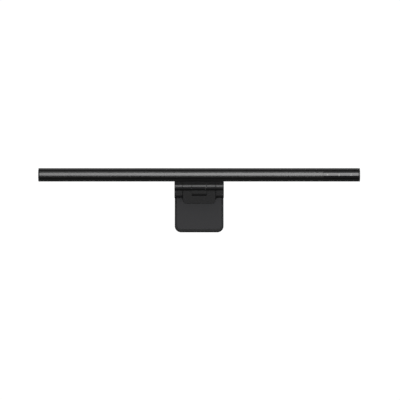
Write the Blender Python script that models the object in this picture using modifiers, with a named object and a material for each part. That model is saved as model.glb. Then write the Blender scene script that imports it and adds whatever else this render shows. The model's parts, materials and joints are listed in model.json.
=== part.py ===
"""Clip-on monitor light bar: a lamp tube on a friction hinge, and a clip with a sprung rear leg.

Metres, +Z up, front along -Y, the touch keys at the +X end. The origin is on the underside of the
clip's top pad, where the clip rests on a monitor's top edge.
"""
import math

import bmesh
import bpy
from mathutils import Vector

# ---- fits -------------------------------------------------------------------------------------
FIT_GAP = 0.0003             # between pieces that touch or seat on each other
RUN_GAP = 0.0004             # between surfaces that turn past each other
OVERCUT = 0.0010             # how far a cutter runs past the face it opens
EDGE_ANGLE = math.radians(60.0)

# ---- lamp tube --------------------------------------------------------------------------------
BAR_LENGTH = 0.450
BAR_RADIUS = 0.0094
TUBE_WALL = 0.0012
CAP_THICKNESS = 0.0020
CAP_SPIGOT = 0.0060
CAP_EDGE = 0.0005
WINDOW_HALF_ANGLE = math.radians(20.0)
WINDOW_TURN = math.radians(14.0)     # the light window is turned this far back from straight down
DIFFUSER_RECESS = 0.0002
DIFFUSER_FLANGE = 0.0014
FLANGE_EXTRA_ANGLE = math.radians(8.0)

# ---- touch keys -------------------------------------------------------------------------------
TOUCH_LENGTH = 0.0497
TOUCH_HALF_ANGLE = math.radians(32.0)
TOUCH_CORNER = 0.0024
TOUCH_BOARD_THICKNESS = 0.0008
TOUCH_BOARD_HALF_HEIGHT = 0.0036
TOUCH_BOARD_SETBACK = 0.0015
TOUCH_BOARD_MARGIN = 0.0020
TOUCH_TRIM_ANGLE = math.radians(4.0)
FLEX_THICKNESS = 0.0003
FLEX_WIDTH = 0.0100
FLEX_RISE = 0.0020
FLEX_REACH = 0.0016

# ---- light engine -----------------------------------------------------------------------------
CARRIER_TOP = 0.0010
CARRIER_THICKNESS = 0.0014
FIN_HEIGHT = 0.0020
FIN_WIDTH = 0.0010
FIN_OFFSET = 0.0030
CARRIER_END_GAP = 0.0020     # from the light engine to the driver board
ENGINE_START_GAP = 0.0030
LED_BOARD_WIDTH = 0.0070
LED_BOARD_THICKNESS = 0.0010
LED_SIZE = 0.0028
LED_HEIGHT = 0.0007
LED_PITCH = 0.0140
REFLECTOR_RADIUS = 0.0056
REFLECTOR_THICKNESS = 0.0005
REFLECTOR_START = math.radians(-44.0)
REFLECTOR_END = math.radians(-9.0)

# ---- driver board and power inlet -------------------------------------------------------------
DRIVER_LENGTH = 0.0600
DRIVER_THICKNESS = 0.0010
DRIVER_END_GAP = 0.0050      # from the driver board to the right end cap
DRIVER_FRONT_GAP = 0.0013    # from the driver board to the touch board
USB_OFFSET = 0.0090          # from the driver board's left end to the inlet's middle
USB_WIDTH = 0.00894
USB_HEIGHT = 0.00326
USB_DEPTH = 0.0070
USB_WALL = 0.0003
USB_SETBACK = 0.0003
USB_CORNER = 0.00153
TONGUE_WIDTH = 0.0067
TONGUE_HEIGHT = 0.0007
TONGUE_BASE = 0.0018
TONGUE_SETBACK = 0.0008
SURROUND_BORDER = 0.0015
SURROUND_DEPTH = 0.0022
SURROUND_CORNER = 0.0020
DRIVER_PARTS = (             # name, place along and across the board, length, width, height
    ("inductor", 0.0220, 0.0012, 0.0055, 0.0055, 0.0030),
    ("controller", 0.0330, 0.0010, 0.0050, 0.0050, 0.0010),
    ("capacitor", 0.0420, 0.0030, 0.0034, 0.0034, 0.0026),
    ("lead_socket", 0.0024, 0.0000, 0.0030, 0.0060, 0.0020),
)

# ---- tilt hinge -------------------------------------------------------------------------------
BARREL_RADIUS = 0.0054
BARREL_HALF = 0.0347
OUTER_SPLIT = 0.0231
CENTRE_SPLIT = 0.01015
TILT_AXIS_Y = -0.0073        # the tilt axis stands this far ahead of the origin
TILT_PIN_RADIUS = 0.0016
TILT_HEAD_RADIUS = 0.0030
TILT_HEAD_HEIGHT = 0.0015
TILT_PIN_END = 0.0006        # how far the pin stands past its nut
TILT_NUT_HEIGHT = 0.0022
TILT_POCKET_RADIUS = 0.0039
TILT_POCKET_DEPTH = 0.0070
SPRING_WASHER_RADIUS = 0.0034
SPRING_WASHER_THICKNESS = 0.0008
PIN_CAP_THICKNESS = 0.0012
FRICTION_DISC_RADIUS = 0.0040
FRICTION_DISC_THICKNESS = 0.0010
FRICTION_DISC_PROUD = 0.0002

# ---- neck -------------------------------------------------------------------------------------
NECK_RISE = 0.0008           # clear height from the barrel's top to the tube's underside
NECK_REACH = 0.0044          # from the barrel's front to the tube's back
NECK_OVERLAP = 0.0025        # how far the neck's front edge covers the barrel's top
SADDLE_WALL = 0.0030
SADDLE_LOW = math.radians(-60.0)
SADDLE_HIGH = math.radians(45.0)
SADDLE_TOE = 0.0018
NECK_FILLET = 0.0300
NECK_SCREW_ANGLE = math.radians(32.0)
NECK_SCREW_X = 0.0200
NECK_SCREW_BITE = 0.0020     # thread held in the saddle
NECK_HOLE_DEPTH = 0.0024

# ---- clip -------------------------------------------------------------------------------------
PAD_THICKNESS = 0.0010
SHELF_HEIGHT = 0.0109
SHELF_FRONT = 0.0030         # the shelf's front face, ahead of the tilt axis
SHELF_BACK = 0.0080          # the shelf's back face, behind the tilt axis
SHELF_CORNER = 0.0035
SHELF_STEP = 0.0016          # the shelf rises this much behind the barrel and closes the gap there
BRIDGE_THICKNESS = 0.0020
LEAF_FRONT = 0.0038          # the lip's front face, ahead of the tilt axis
LEAF_THICKNESS = 0.0028
LEAF_DROP = 0.0069           # how far the front lip hangs over a monitor's front
LEAF_CORNER = 0.0050
NOTCH_SILL = 0.0046          # the lip's middle notch ends this far above the top pad's underside
CLIP_PAD_HALF = 0.0190
TOP_PAD_SETBACK = 0.0100     # from the leg's axis to the top pad's back edge

# ---- leg hinge --------------------------------------------------------------------------------
HINGE_SPACING = 0.0136       # clear space between the two barrels
LEG_KNUCKLE_RADIUS = 0.0050
LEG_AXIS_RISE = 0.0067       # above the bridge's underside
LEG_PIN_RADIUS = 0.0016
LEG_PIN_SETBACK = 0.0024     # from the pin's end to its cap
LEG_CAP_RADIUS = 0.0030
LEG_CAP_THICKNESS = 0.0012
LEG_REST_TILT = math.radians(-15.0)
BRIDGE_BACK = 0.0040         # the bridge's back edge, ahead of the leg's axis
RISER_LOW = math.radians(-100.0)
RISER_HIGH = math.radians(120.0)
SLEEVE_RADIUS = 0.0023
SPRING_RADIUS = 0.0032
SPRING_WIRE_RADIUS = 0.0006
SPRING_HALF = 0.0070
SPRING_TURNS = 5
SPRING_TURN_STEPS = 12
SPRING_END_ANGLE = math.radians(195.0)
SPRING_FRONT_TAIL = 0.0080
SPRING_LEG_TAIL = 0.0108

# ---- rear leg ---------------------------------------------------------------------------------
LEG_WIDTH = 0.0688
LEG_LENGTH = 0.0564          # from the hinge axis to the bottom edge
LEG_FRONT = 0.0044
LEG_BACK = 0.0030
LEG_CORNER = 0.0090
LEG_NOTCH = 0.0098           # the middle starts this far below the axis, clear of the clip
LEG_EDGE = 0.0006
LEG_RIM = 0.0026
LEG_PAD_RECESS = 0.0006
LEG_PAD_PROUD = 0.0006
LEG_PAD_ARM_TOP = 0.0062
LEG_PAD_ARM_EDGE = 0.0006
LEG_FLOOR = 0.0012
LEG_SIDE_WALL = 0.0022
LEG_COVER_THICKNESS = 0.0018
LEG_COVER_RECESS = 0.0002
WEIGHT_SIDE_GAP = 0.0013
WEIGHT_MARGIN = 0.0012
BOSS_RADIUS = 0.0024
BOSS_INSET_X = 0.0042
BOSS_INSET_Z = 0.0037

# ---- screws -----------------------------------------------------------------------------------
SCREW_HEAD_RADIUS = 0.0019
SCREW_HEAD_HEIGHT = 0.0009
SCREW_CROWN_RADIUS = 0.0013
SCREW_CROWN_HEIGHT = 0.00045
SCREW_SHANK_RADIUS = 0.0010
SCREW_TIP_RADIUS = 0.0004
RECESS_WIDTH = 0.0005
RECESS_LENGTH = 0.0022
RECESS_DEPTH = 0.0005

# ---- sizes that follow ------------------------------------------------------------------------
TUBE_INNER = BAR_RADIUS - TUBE_WALL
TUBE_HALF = BAR_LENGTH / 2 - CAP_THICKNESS
BRIDGE_UNDERSIDE = PAD_THICKNESS + FIT_GAP
BRIDGE_TOP = BRIDGE_UNDERSIDE + BRIDGE_THICKNESS
SHELF_TOP = BRIDGE_UNDERSIDE + SHELF_HEIGHT
TILT_AXIS_Z = SHELF_TOP + RUN_GAP + BARREL_RADIUS
TILT_AXIS = (TILT_AXIS_Y, TILT_AXIS_Z)
BAR_Y = -(BARREL_RADIUS + NECK_REACH + BAR_RADIUS)
BAR_Z = BARREL_RADIUS + NECK_RISE + BAR_RADIUS
CLIP_HALF = OUTER_SPLIT - RUN_GAP / 2
CENTRE_CLIP = CENTRE_SPLIT + RUN_GAP / 2
CENTRE_NECK = CENTRE_SPLIT - RUN_GAP / 2
OUTER_NECK = OUTER_SPLIT + RUN_GAP / 2
LEG_AXIS_Y = TILT_AXIS_Y + BARREL_RADIUS + HINGE_SPACING + LEG_KNUCKLE_RADIUS
LEG_AXIS_Z = BRIDGE_UNDERSIDE + LEG_AXIS_RISE
LEG_HALF = LEG_WIDTH / 2
LEG_PIN_HALF = LEG_HALF - LEG_CAP_THICKNESS - LEG_PIN_SETBACK
BOSS_X = LEG_HALF - LEG_SIDE_WALL - BOSS_INSET_X
WEIGHT_HALF_WIDTH = BOSS_X - BOSS_RADIUS - WEIGHT_SIDE_GAP
SPIGOT_START = TUBE_HALF - CAP_SPIGOT
ENGINE_LEFT = -SPIGOT_START + ENGINE_START_GAP
DRIVER_LEFT = SPIGOT_START - DRIVER_END_GAP - DRIVER_LENGTH
CARRIER_RIGHT = DRIVER_LEFT - CARRIER_END_GAP
TOUCH_BOARD_FRONT = TUBE_INNER - TOUCH_BOARD_SETBACK
DRIVER_FRONT = TOUCH_BOARD_FRONT - TOUCH_BOARD_THICKNESS - DRIVER_FRONT_GAP
DRIVER_BACK = BAR_RADIUS - USB_SETBACK - SURROUND_DEPTH - FIT_GAP
DRIVER_TOP = -(USB_HEIGHT / 2 + FIT_GAP)
USB_X = DRIVER_LEFT + USB_OFFSET

FINISHES = {                 # base colour, roughness, metallic
    "black_anodised": ((0.020, 0.020, 0.022), 0.32, 0.85),
    "black_plastic": ((0.018, 0.018, 0.019), 0.55, 0.0),
    "gloss_black": ((0.005, 0.005, 0.006), 0.08, 0.0),
    "silicone": ((0.045, 0.045, 0.047), 0.80, 0.0),
    "opal": ((0.86, 0.86, 0.83), 0.45, 0.0),
    "aluminium": ((0.72, 0.73, 0.74), 0.35, 1.0),
    "steel": ((0.52, 0.52, 0.53), 0.30, 1.0),
    "black_steel": ((0.04, 0.04, 0.04), 0.40, 1.0),
    "board_green": ((0.03, 0.16, 0.07), 0.45, 0.0),
    "board_white": ((0.80, 0.80, 0.78), 0.45, 0.0),
    "film_amber": ((0.42, 0.18, 0.04), 0.35, 0.0),
    "nylon": ((0.05, 0.05, 0.053), 0.50, 0.0),
}


# ---- scene helpers ----------------------------------------------------------------------------
def start_clean():
    """Empty the scene and make one collection for the parts and one for the cutters."""
    for thing in list(bpy.data.objects):
        bpy.data.objects.remove(thing, do_unlink=True)
    made = []
    for name in ("monitor_light_bar", "cutters"):
        collection = bpy.data.collections.new(name)
        bpy.context.scene.collection.children.link(collection)
        made.append(collection)
    return made


PARTS, CUTTERS = start_clean()


def pivot(name, location, tilt=0.0):
    """An empty on a joint's axis that a moving group hangs from."""
    empty = bpy.data.objects.new(name, None)
    empty.empty_display_size = 0.01
    empty.location = location
    empty.rotation_euler = (tilt, 0.0, 0.0)
    PARTS.objects.link(empty)
    return empty


def place(thing, collection, parent):
    """Move an object into its collection and hang it from its pivot."""
    for old in list(thing.users_collection):
        old.objects.unlink(thing)
    collection.objects.link(thing)
    thing.parent = parent
    return thing


def finish(thing, finish_name, parent=None, smooth_angle=30.0):
    """Name the mesh, give the piece its own material and file it with the parts."""
    colour, roughness, metallic = FINISHES[finish_name]
    material = bpy.data.materials.new(thing.name + "_" + finish_name)
    material.use_nodes = True
    shader = material.node_tree.nodes["Principled BSDF"]
    shader.inputs["Base Color"].default_value = (*colour, 1.0)
    shader.inputs["Roughness"].default_value = roughness
    shader.inputs["Metallic"].default_value = metallic
    thing.data.materials.clear()
    thing.data.materials.append(material)
    if thing.type == "MESH":
        thing.data.shade_smooth()
        thing.data.set_sharp_from_angle(angle=math.radians(smooth_angle))
    return place(thing, PARTS, parent)


def boolean(target, tool, operation):
    """Cut, join or intersect a piece with a tool that is kept out of the model."""
    place(tool, CUTTERS, target.parent)
    tool.hide_render = True
    tool.display_type = "WIRE"
    modifier = target.modifiers.new(tool.name, "BOOLEAN")
    modifier.operation = operation
    modifier.solver = "EXACT"
    modifier.object = tool


def cut(target, *tools):
    for tool in tools:
        boolean(target, tool, "DIFFERENCE")


def join(target, *tools):
    for tool in tools:
        boolean(target, tool, "UNION")


# ---- shapes -----------------------------------------------------------------------------------
def arc(centre, radius, start, end, steps):
    """Points on an arc from one angle to another, both ends included."""
    points = []
    for step in range(steps + 1):
        angle = start + (end - start) * step / steps
        points.append((centre[0] + radius * math.cos(angle), centre[1] + radius * math.sin(angle)))
    return points


def rounded_rectangle(half_width, half_height, corner, steps=5):
    """A rectangle about the origin with an arc at each corner."""
    points = []
    corners = ((1, 1, 0.0), (-1, 1, 0.5), (-1, -1, 1.0), (1, -1, 1.5))
    for side_x, side_y, turn in corners:
        centre = (side_x * (half_width - corner), side_y * (half_height - corner))
        points += arc(centre, corner, turn * math.pi, (turn + 0.5) * math.pi, steps)
    return points


def shifted(points, across, up):
    return [(u + across, v + up) for u, v in points]


def outline(name, points, thickness, location, rotation):
    """A flat outline extruded to a slab about its own plane, as a welded mesh."""
    curve = bpy.data.curves.new(name, "CURVE")
    curve.dimensions = "2D"
    curve.fill_mode = "BOTH"
    curve.extrude = thickness / 2
    spline = curve.splines.new("POLY")
    spline.points.add(len(points) - 1)
    for point, (u, v) in zip(spline.points, points):
        point.co = (u, v, 0.0, 1.0)
    spline.use_cyclic_u = True
    return as_mesh(bpy.data.objects.new(name, curve), location, rotation)


def as_mesh(curve_object, location=(0.0, 0.0, 0.0), rotation=(0.0, 0.0, 0.0)):
    """Replace a curve object with the welded mesh that it draws."""
    name = curve_object.name
    bpy.context.scene.collection.objects.link(curve_object)
    bpy.context.view_layer.update()
    evaluated = curve_object.evaluated_get(bpy.context.evaluated_depsgraph_get())
    mesh = bpy.data.meshes.new_from_object(evaluated)
    bpy.data.objects.remove(curve_object, do_unlink=True)
    shape = bmesh.new()
    shape.from_mesh(mesh)
    bmesh.ops.remove_doubles(shape, verts=shape.verts, dist=1e-6)
    bmesh.ops.dissolve_limit(shape, angle_limit=math.radians(0.2), verts=shape.verts, edges=shape.edges)
    bmesh.ops.recalc_face_normals(shape, faces=shape.faces)
    shape.to_mesh(mesh)
    shape.free()
    made = bpy.data.objects.new(name, mesh)
    bpy.context.scene.collection.objects.link(made)
    made.location = location
    made.rotation_euler = rotation
    return made


def section(name, points, x_low, x_high):
    """A (y, z) cross-section drawn out along X."""
    turn = (math.pi / 2, 0.0, math.pi / 2)
    return outline(name, points, x_high - x_low, ((x_low + x_high) / 2, 0.0, 0.0), turn)


def panel(name, points, y_low, y_high):
    """An (x, z) face outline given its thickness along Y."""
    turn = (math.pi / 2, 0.0, 0.0)
    return outline(name, points, y_high - y_low, (0.0, (y_low + y_high) / 2, 0.0), turn)


def box(name, low, high):
    """An axis-aligned block between two corners."""
    bpy.ops.mesh.primitive_cube_add(size=1.0)
    made = bpy.context.object
    made.name = name
    for vertex in made.data.vertices:
        for axis in range(3):
            vertex.co[axis] *= high[axis] - low[axis]
    made.location = [(a + b) / 2 for a, b in zip(low, high)]
    return made


def rod_x(name, radius, x_low, x_high, centre=(0.0, 0.0), sides=32):
    """A cylinder along X about a (y, z) centre."""
    location = ((x_low + x_high) / 2, centre[0], centre[1])
    bpy.ops.mesh.primitive_cylinder_add(vertices=sides, radius=radius, depth=x_high - x_low,
                                        location=location, rotation=(0.0, math.pi / 2, 0.0))
    made = bpy.context.object
    made.name = name
    return made


def rod_along(name, radius, start, end, sides=12):
    """A cylinder between two points."""
    start, end = Vector(start), Vector(end)
    direction = end - start
    bpy.ops.mesh.primitive_cylinder_add(vertices=sides, radius=radius, depth=direction.length,
                                        location=(start + end) / 2,
                                        rotation=direction.to_track_quat("Z", "Y").to_euler())
    made = bpy.context.object
    made.name = name
    return made


def turned(name, profile, location, rotation, sides=24):
    """A solid of revolution: (radius, height) points from the top centre down to the bottom."""
    mesh = bpy.data.meshes.new(name)
    points = [(radius, 0.0, height) for radius, height in profile]
    mesh.from_pydata(points, [(i, i + 1) for i in range(len(points) - 1)], [])
    made = bpy.data.objects.new(name, mesh)
    bpy.context.scene.collection.objects.link(made)
    made.location = location
    made.rotation_euler = rotation
    screw = made.modifiers.new("turn", "SCREW")
    screw.axis = "Z"
    screw.angle = 2 * math.pi
    screw.steps = sides
    screw.render_steps = sides
    screw.use_merge_vertices = True
    screw.merge_threshold = 1e-5
    return made


def ring_x(name, inner, outer, x_low, x_high, finish_name, parent, sides=32):
    """A flat washer about the X axis of its pivot."""
    made = finish(rod_x(name, outer, x_low, x_high, sides=sides), finish_name, parent)
    cut(made, rod_x(name + "_bore", inner, x_low - OVERCUT, x_high + OVERCUT, sides=sides))
    return made


def screw_piece(name, seat, tip, finish_name, parent):
    """A pan-head screw whose head sits on `seat` and whose thread ends at `tip`."""
    seat, tip = Vector(seat), Vector(tip)
    outward = (seat - tip).normalized()
    length = (seat - tip).length
    profile = [(0.0, SCREW_HEAD_HEIGHT), (SCREW_CROWN_RADIUS, SCREW_HEAD_HEIGHT),
               (SCREW_HEAD_RADIUS, SCREW_CROWN_HEIGHT), (SCREW_HEAD_RADIUS, 0.0),
               (SCREW_SHANK_RADIUS, 0.0), (SCREW_SHANK_RADIUS, SCREW_SHANK_RADIUS - length),
               (SCREW_TIP_RADIUS, -length), (0.0, -length)]
    facing = outward.to_track_quat("Z", "Y").to_euler()
    made = finish(turned(name, profile, seat, facing, sides=16), finish_name, parent)
    for index, half in enumerate(((RECESS_LENGTH, RECESS_WIDTH), (RECESS_WIDTH, RECESS_LENGTH))):
        low = (-half[0] / 2, -half[1] / 2, SCREW_HEAD_HEIGHT - RECESS_DEPTH)
        high = (half[0] / 2, half[1] / 2, SCREW_HEAD_HEIGHT + RECESS_DEPTH)
        blade = box(f"{name}_recess_{index}", low, high)
        middle = Vector(blade.location)
        middle.rotate(facing)
        blade.location = seat + middle
        blade.rotation_euler = facing
        cut(made, blade)
    return made


def about_bar(points):
    """Shift points drawn about the tube's axis into the tilting group's frame."""
    return shifted(points, BAR_Y, BAR_Z)


# ---- lamp -------------------------------------------------------------------------------------
def touch_outline(gap):
    """The touch window seen from the front, open past the tube's end."""
    half_height = BAR_RADIUS * math.sin(TOUCH_HALF_ANGLE) - gap
    left = TUBE_HALF - TOUCH_LENGTH + gap
    right = TUBE_HALF + (CAP_THICKNESS if gap == 0.0 else -FIT_GAP)
    corner = TOUCH_CORNER - gap
    points = arc((left + corner, half_height - corner), corner, math.pi / 2, math.pi, 5)
    points += arc((left + corner, corner - half_height), corner, math.pi, 1.5 * math.pi, 5)
    points += [(right, -half_height), (right, half_height)]
    return shifted(points, 0.0, BAR_Z)


def build_tube(parent):
    """The extruded tube, with the light window below and openings for keys, inlet and screws."""
    low = -math.pi / 2 + WINDOW_TURN + WINDOW_HALF_ANGLE
    high = 1.5 * math.pi + WINDOW_TURN - WINDOW_HALF_ANGLE
    wall = arc((0.0, 0.0), BAR_RADIUS, low, high, 46) + arc((0.0, 0.0), TUBE_INNER, high, low, 40)
    tube = finish(section("bar_tube", about_bar(wall), -TUBE_HALF, TUBE_HALF), "black_anodised", parent)
    cut(tube, panel("touch_window", touch_outline(0.0), BAR_Y - 2 * BAR_RADIUS, BAR_Y - BAR_RADIUS / 2))
    hole = rounded_rectangle(USB_WIDTH / 2 + SURROUND_BORDER + FIT_GAP,
                             USB_HEIGHT / 2 + SURROUND_BORDER + FIT_GAP, SURROUND_CORNER)
    cut(tube, panel("inlet_hole", shifted(hole, USB_X, BAR_Z),
                    BAR_Y + BAR_RADIUS / 2, BAR_Y + 2 * BAR_RADIUS))
    for side, name in ((-1, "left"), (1, "right")):
        cut(tube, neck_screw_hole("tube_screw_hole_" + name, side, BAR_RADIUS + OVERCUT))


def neck_screw_hole(name, side, reach):
    """A hole on a neck screw's line, from inside the tube out to `reach` from its axis."""
    direction = (math.cos(NECK_SCREW_ANGLE), math.sin(NECK_SCREW_ANGLE))
    ends = []
    for distance in (TUBE_INNER - OVERCUT, reach):
        ends.append((side * NECK_SCREW_X, BAR_Y + distance * direction[0], BAR_Z + distance * direction[1]))
    return rod_along(name, SCREW_SHANK_RADIUS + FIT_GAP, ends[0], ends[1])


def build_diffuser(parent):
    """The opal strip in the window, with a flange that holds it inside the tube."""
    slim = WINDOW_HALF_ANGLE - FIT_GAP / BAR_RADIUS
    wide = WINDOW_HALF_ANGLE + FLANGE_EXTRA_ANGLE
    down = -math.pi / 2 + WINDOW_TURN
    seat = TUBE_INNER - FIT_GAP
    points = arc((0.0, 0.0), BAR_RADIUS - DIFFUSER_RECESS, down - slim, down + slim, 12)
    points += arc((0.0, 0.0), seat, down + slim, down + wide, 3)
    points += arc((0.0, 0.0), seat - DIFFUSER_FLANGE, down + wide, down - wide, 12)
    points += arc((0.0, 0.0), seat, down - wide, down - slim, 3)
    half = TUBE_HALF - FIT_GAP
    finish(section("diffuser", about_bar(points), -half, half), "opal", parent)


def build_end_cap(side, name, parent):
    """A disc over the tube's end with a spigot that plugs into it."""
    face = side * BAR_LENGTH / 2
    back = side * (TUBE_HALF + FIT_GAP)
    disc = rod_x("end_cap_" + name, BAR_RADIUS, min(face, back), max(face, back), (BAR_Y, BAR_Z), 36)
    finish(disc, "black_plastic", parent)
    edge = disc.modifiers.new("edge", "BEVEL")
    edge.width = CAP_EDGE
    edge.segments = 1
    edge.angle_limit = EDGE_ANGLE
    plug = arc((0.0, 0.0), TUBE_INNER - FIT_GAP, math.radians(-15.0), math.radians(195.0), 24)
    inner = side * SPIGOT_START
    outer = side * (TUBE_HALF + CAP_THICKNESS / 2)
    join(disc, section("spigot_" + name, about_bar(plug), min(inner, outer), max(inner, outer)))


def build_light_engine(parent):
    """The finned carrier, the LED board under it and the reflector behind it."""
    reach = TUBE_INNER - FIT_GAP
    half = math.sqrt(reach ** 2 - CARRIER_TOP ** 2)
    low = CARRIER_TOP - CARRIER_THICKNESS
    fin_top = CARRIER_TOP + FIN_HEIGHT
    near = FIN_OFFSET - FIN_WIDTH / 2
    far = FIN_OFFSET + FIN_WIDTH / 2
    points = [(-half, low), (half, low), (half, CARRIER_TOP), (far, CARRIER_TOP), (far, fin_top),
              (near, fin_top), (near, CARRIER_TOP), (-near, CARRIER_TOP), (-near, fin_top),
              (-far, fin_top), (-far, CARRIER_TOP), (-half, CARRIER_TOP)]
    carrier = section("led_carrier", about_bar(points), ENGINE_LEFT, CARRIER_RIGHT)
    finish(carrier, "aluminium", parent)

    board_top = BAR_Z + low - FIT_GAP
    board_bottom = board_top - LED_BOARD_THICKNESS
    half_board = LED_BOARD_WIDTH / 2
    board = box("led_board", (ENGINE_LEFT, BAR_Y - half_board, board_bottom),
                (CARRIER_RIGHT, BAR_Y + half_board, board_top))
    finish(board, "board_white", parent)
    count = int((CARRIER_RIGHT - ENGINE_LEFT - LED_PITCH) / LED_PITCH) + 1
    first = (CARRIER_RIGHT + ENGINE_LEFT) / 2 - (count - 1) * LED_PITCH / 2
    for index in range(count):
        x = first + index * LED_PITCH
        chip = box(f"led_{index:02d}",
                   (x - LED_SIZE / 2, BAR_Y - LED_SIZE / 2, board_bottom - LED_HEIGHT),
                   (x + LED_SIZE / 2, BAR_Y + LED_SIZE / 2, board_bottom + LED_BOARD_THICKNESS / 2))
        join(board, chip)

    outer = REFLECTOR_RADIUS + REFLECTOR_THICKNESS
    sheet = arc((0.0, 0.0), outer, REFLECTOR_START, REFLECTOR_END, 8)
    sheet += arc((0.0, 0.0), REFLECTOR_RADIUS, REFLECTOR_END, REFLECTOR_START, 8)
    finish(section("reflector", about_bar(sheet), ENGINE_LEFT, CARRIER_RIGHT), "board_white", parent)


def build_touch_keys(parent):
    """The gloss cover flush with the tube, the sensing board behind it and its flex lead."""
    half = TOUCH_HALF_ANGLE + TOUCH_TRIM_ANGLE
    shell = arc((0.0, 0.0), BAR_RADIUS, math.pi - half, math.pi + half, 16)
    shell += arc((0.0, 0.0), TUBE_INNER, math.pi + half, math.pi - half, 16)
    left = TUBE_HALF - TOUCH_LENGTH
    cover = section("touch_cover", about_bar(shell), left - OVERCUT, TUBE_HALF + OVERCUT)
    trim = panel("touch_trim", touch_outline(FIT_GAP), BAR_Y - 2 * BAR_RADIUS, BAR_Y)
    finish(cover, "gloss_black", parent)
    boolean(cover, trim, "INTERSECT")

    front = BAR_Y - TOUCH_BOARD_FRONT
    back = front + TOUCH_BOARD_THICKNESS
    board_left = left + TOUCH_BOARD_MARGIN
    board = box("touch_board", (board_left, front, BAR_Z - TOUCH_BOARD_HALF_HEIGHT),
                (SPIGOT_START - FIT_GAP, back, BAR_Z + TOUCH_BOARD_HALF_HEIGHT))
    finish(board, "board_green", parent)

    inner = back + FIT_GAP
    foot = BAR_Z + DRIVER_TOP + FIT_GAP
    points = [(inner, foot), (inner + FLEX_REACH, foot), (inner + FLEX_REACH, foot + FLEX_THICKNESS),
              (inner + FLEX_THICKNESS, foot + FLEX_THICKNESS), (inner + FLEX_THICKNESS, foot + FLEX_RISE),
              (inner, foot + FLEX_RISE)]
    flex = section("touch_flex", points, board_left + FLEX_WIDTH, board_left + 2 * FLEX_WIDTH)
    finish(flex, "film_amber", parent)


def build_driver(parent):
    """The driver board with its parts soldered on, and the power inlet at the tube's back."""
    top = BAR_Z + DRIVER_TOP
    right = DRIVER_LEFT + DRIVER_LENGTH
    board = box("driver_board", (DRIVER_LEFT, BAR_Y - DRIVER_FRONT, top - DRIVER_THICKNESS),
                (right, BAR_Y + DRIVER_BACK, top))
    finish(board, "board_green", parent)
    for name, x, y, length, width, height in DRIVER_PARTS:
        low = (DRIVER_LEFT + x - length / 2, BAR_Y + y - width / 2, top - DRIVER_THICKNESS / 2)
        high = (DRIVER_LEFT + x + length / 2, BAR_Y + y + width / 2, top + height)
        join(board, box(name, low, high))

    mouth = BAR_Y + BAR_RADIUS - USB_SETBACK
    back = mouth - USB_DEPTH
    body = shifted(rounded_rectangle(USB_WIDTH / 2, USB_HEIGHT / 2, USB_CORNER), USB_X, BAR_Z)
    shell = finish(panel("usb_shell", body, back, mouth), "steel", parent)
    hollow = rounded_rectangle(USB_WIDTH / 2 - USB_WALL, USB_HEIGHT / 2 - USB_WALL, USB_CORNER - USB_WALL)
    cut(shell, panel("usb_mouth", shifted(hollow, USB_X, BAR_Z), back + USB_WALL, mouth + OVERCUT))

    core = rounded_rectangle(USB_WIDTH / 2 - USB_WALL - FIT_GAP, USB_HEIGHT / 2 - USB_WALL - FIT_GAP,
                             USB_CORNER - USB_WALL - FIT_GAP)
    base = back + USB_WALL + FIT_GAP
    tongue = panel("usb_tongue", shifted(core, USB_X, BAR_Z), base, base + TONGUE_BASE)
    finish(tongue, "black_plastic", parent)
    low = (USB_X - TONGUE_WIDTH / 2, base + TONGUE_BASE / 2, BAR_Z - TONGUE_HEIGHT / 2)
    high = (USB_X + TONGUE_WIDTH / 2, mouth - TONGUE_SETBACK, BAR_Z + TONGUE_HEIGHT / 2)
    join(tongue, box("tongue_blade", low, high))

    rim = rounded_rectangle(USB_WIDTH / 2 + SURROUND_BORDER, USB_HEIGHT / 2 + SURROUND_BORDER,
                            SURROUND_CORNER)
    surround = panel("usb_surround", shifted(rim, USB_X, BAR_Z), mouth - SURROUND_DEPTH, mouth)
    finish(surround, "black_plastic", parent)
    bore = rounded_rectangle(USB_WIDTH / 2 + FIT_GAP, USB_HEIGHT / 2 + FIT_GAP, USB_CORNER)
    cut(surround, panel("surround_bore", shifted(bore, USB_X, BAR_Z), mouth - SURROUND_DEPTH - OVERCUT,
                        mouth + OVERCUT))


# ---- neck and tilt hinge ----------------------------------------------------------------------
def tangent_circle(first, first_radius, second, second_radius, fillet):
    """Centre of the circle of radius `fillet` that touches two circles from their upper back."""
    reach_first = first_radius + fillet
    reach_second = second_radius + fillet
    gap_y, gap_z = second[0] - first[0], second[1] - first[1]
    apart = math.hypot(gap_y, gap_z)
    along = (reach_first ** 2 - reach_second ** 2 + apart ** 2) / (2 * apart)
    aside = math.sqrt(reach_first ** 2 - along ** 2)
    unit = (gap_y / apart, gap_z / apart)
    return (first[0] + along * unit[0] + aside * unit[1], first[1] + along * unit[1] - aside * unit[0])


def neck_outline():
    """The neck's side view: saddle round the tube, concave back, flat underside, barrel below."""
    bar = (BAR_Y, BAR_Z)
    inner = BAR_RADIUS + FIT_GAP
    outer = inner + SADDLE_WALL
    hollow = tangent_circle((0.0, 0.0), BARREL_RADIUS, bar, outer, NECK_FILLET)
    to_bar = math.atan2(bar[1] - hollow[1], bar[0] - hollow[0])
    to_barrel = math.atan2(-hollow[1], -hollow[0])
    saddle_touch = math.atan2(hollow[1] - bar[1], hollow[0] - bar[0])
    points = arc(bar, inner, SADDLE_LOW, SADDLE_HIGH, 16)
    points += arc(bar, outer, SADDLE_HIGH, saddle_touch, 5)
    points += arc(hollow, NECK_FILLET, to_bar % (2 * math.pi), to_barrel % (2 * math.pi), 10)[1:]
    lip = BARREL_RADIUS - NECK_OVERLAP
    points += [(0.0, 0.0), (-math.sqrt(BARREL_RADIUS ** 2 - lip ** 2), lip)]
    toe = inner + SADDLE_TOE
    points += [(bar[0] + toe * math.cos(SADDLE_LOW), bar[1] + toe * math.sin(SADDLE_LOW))]
    return points


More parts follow.
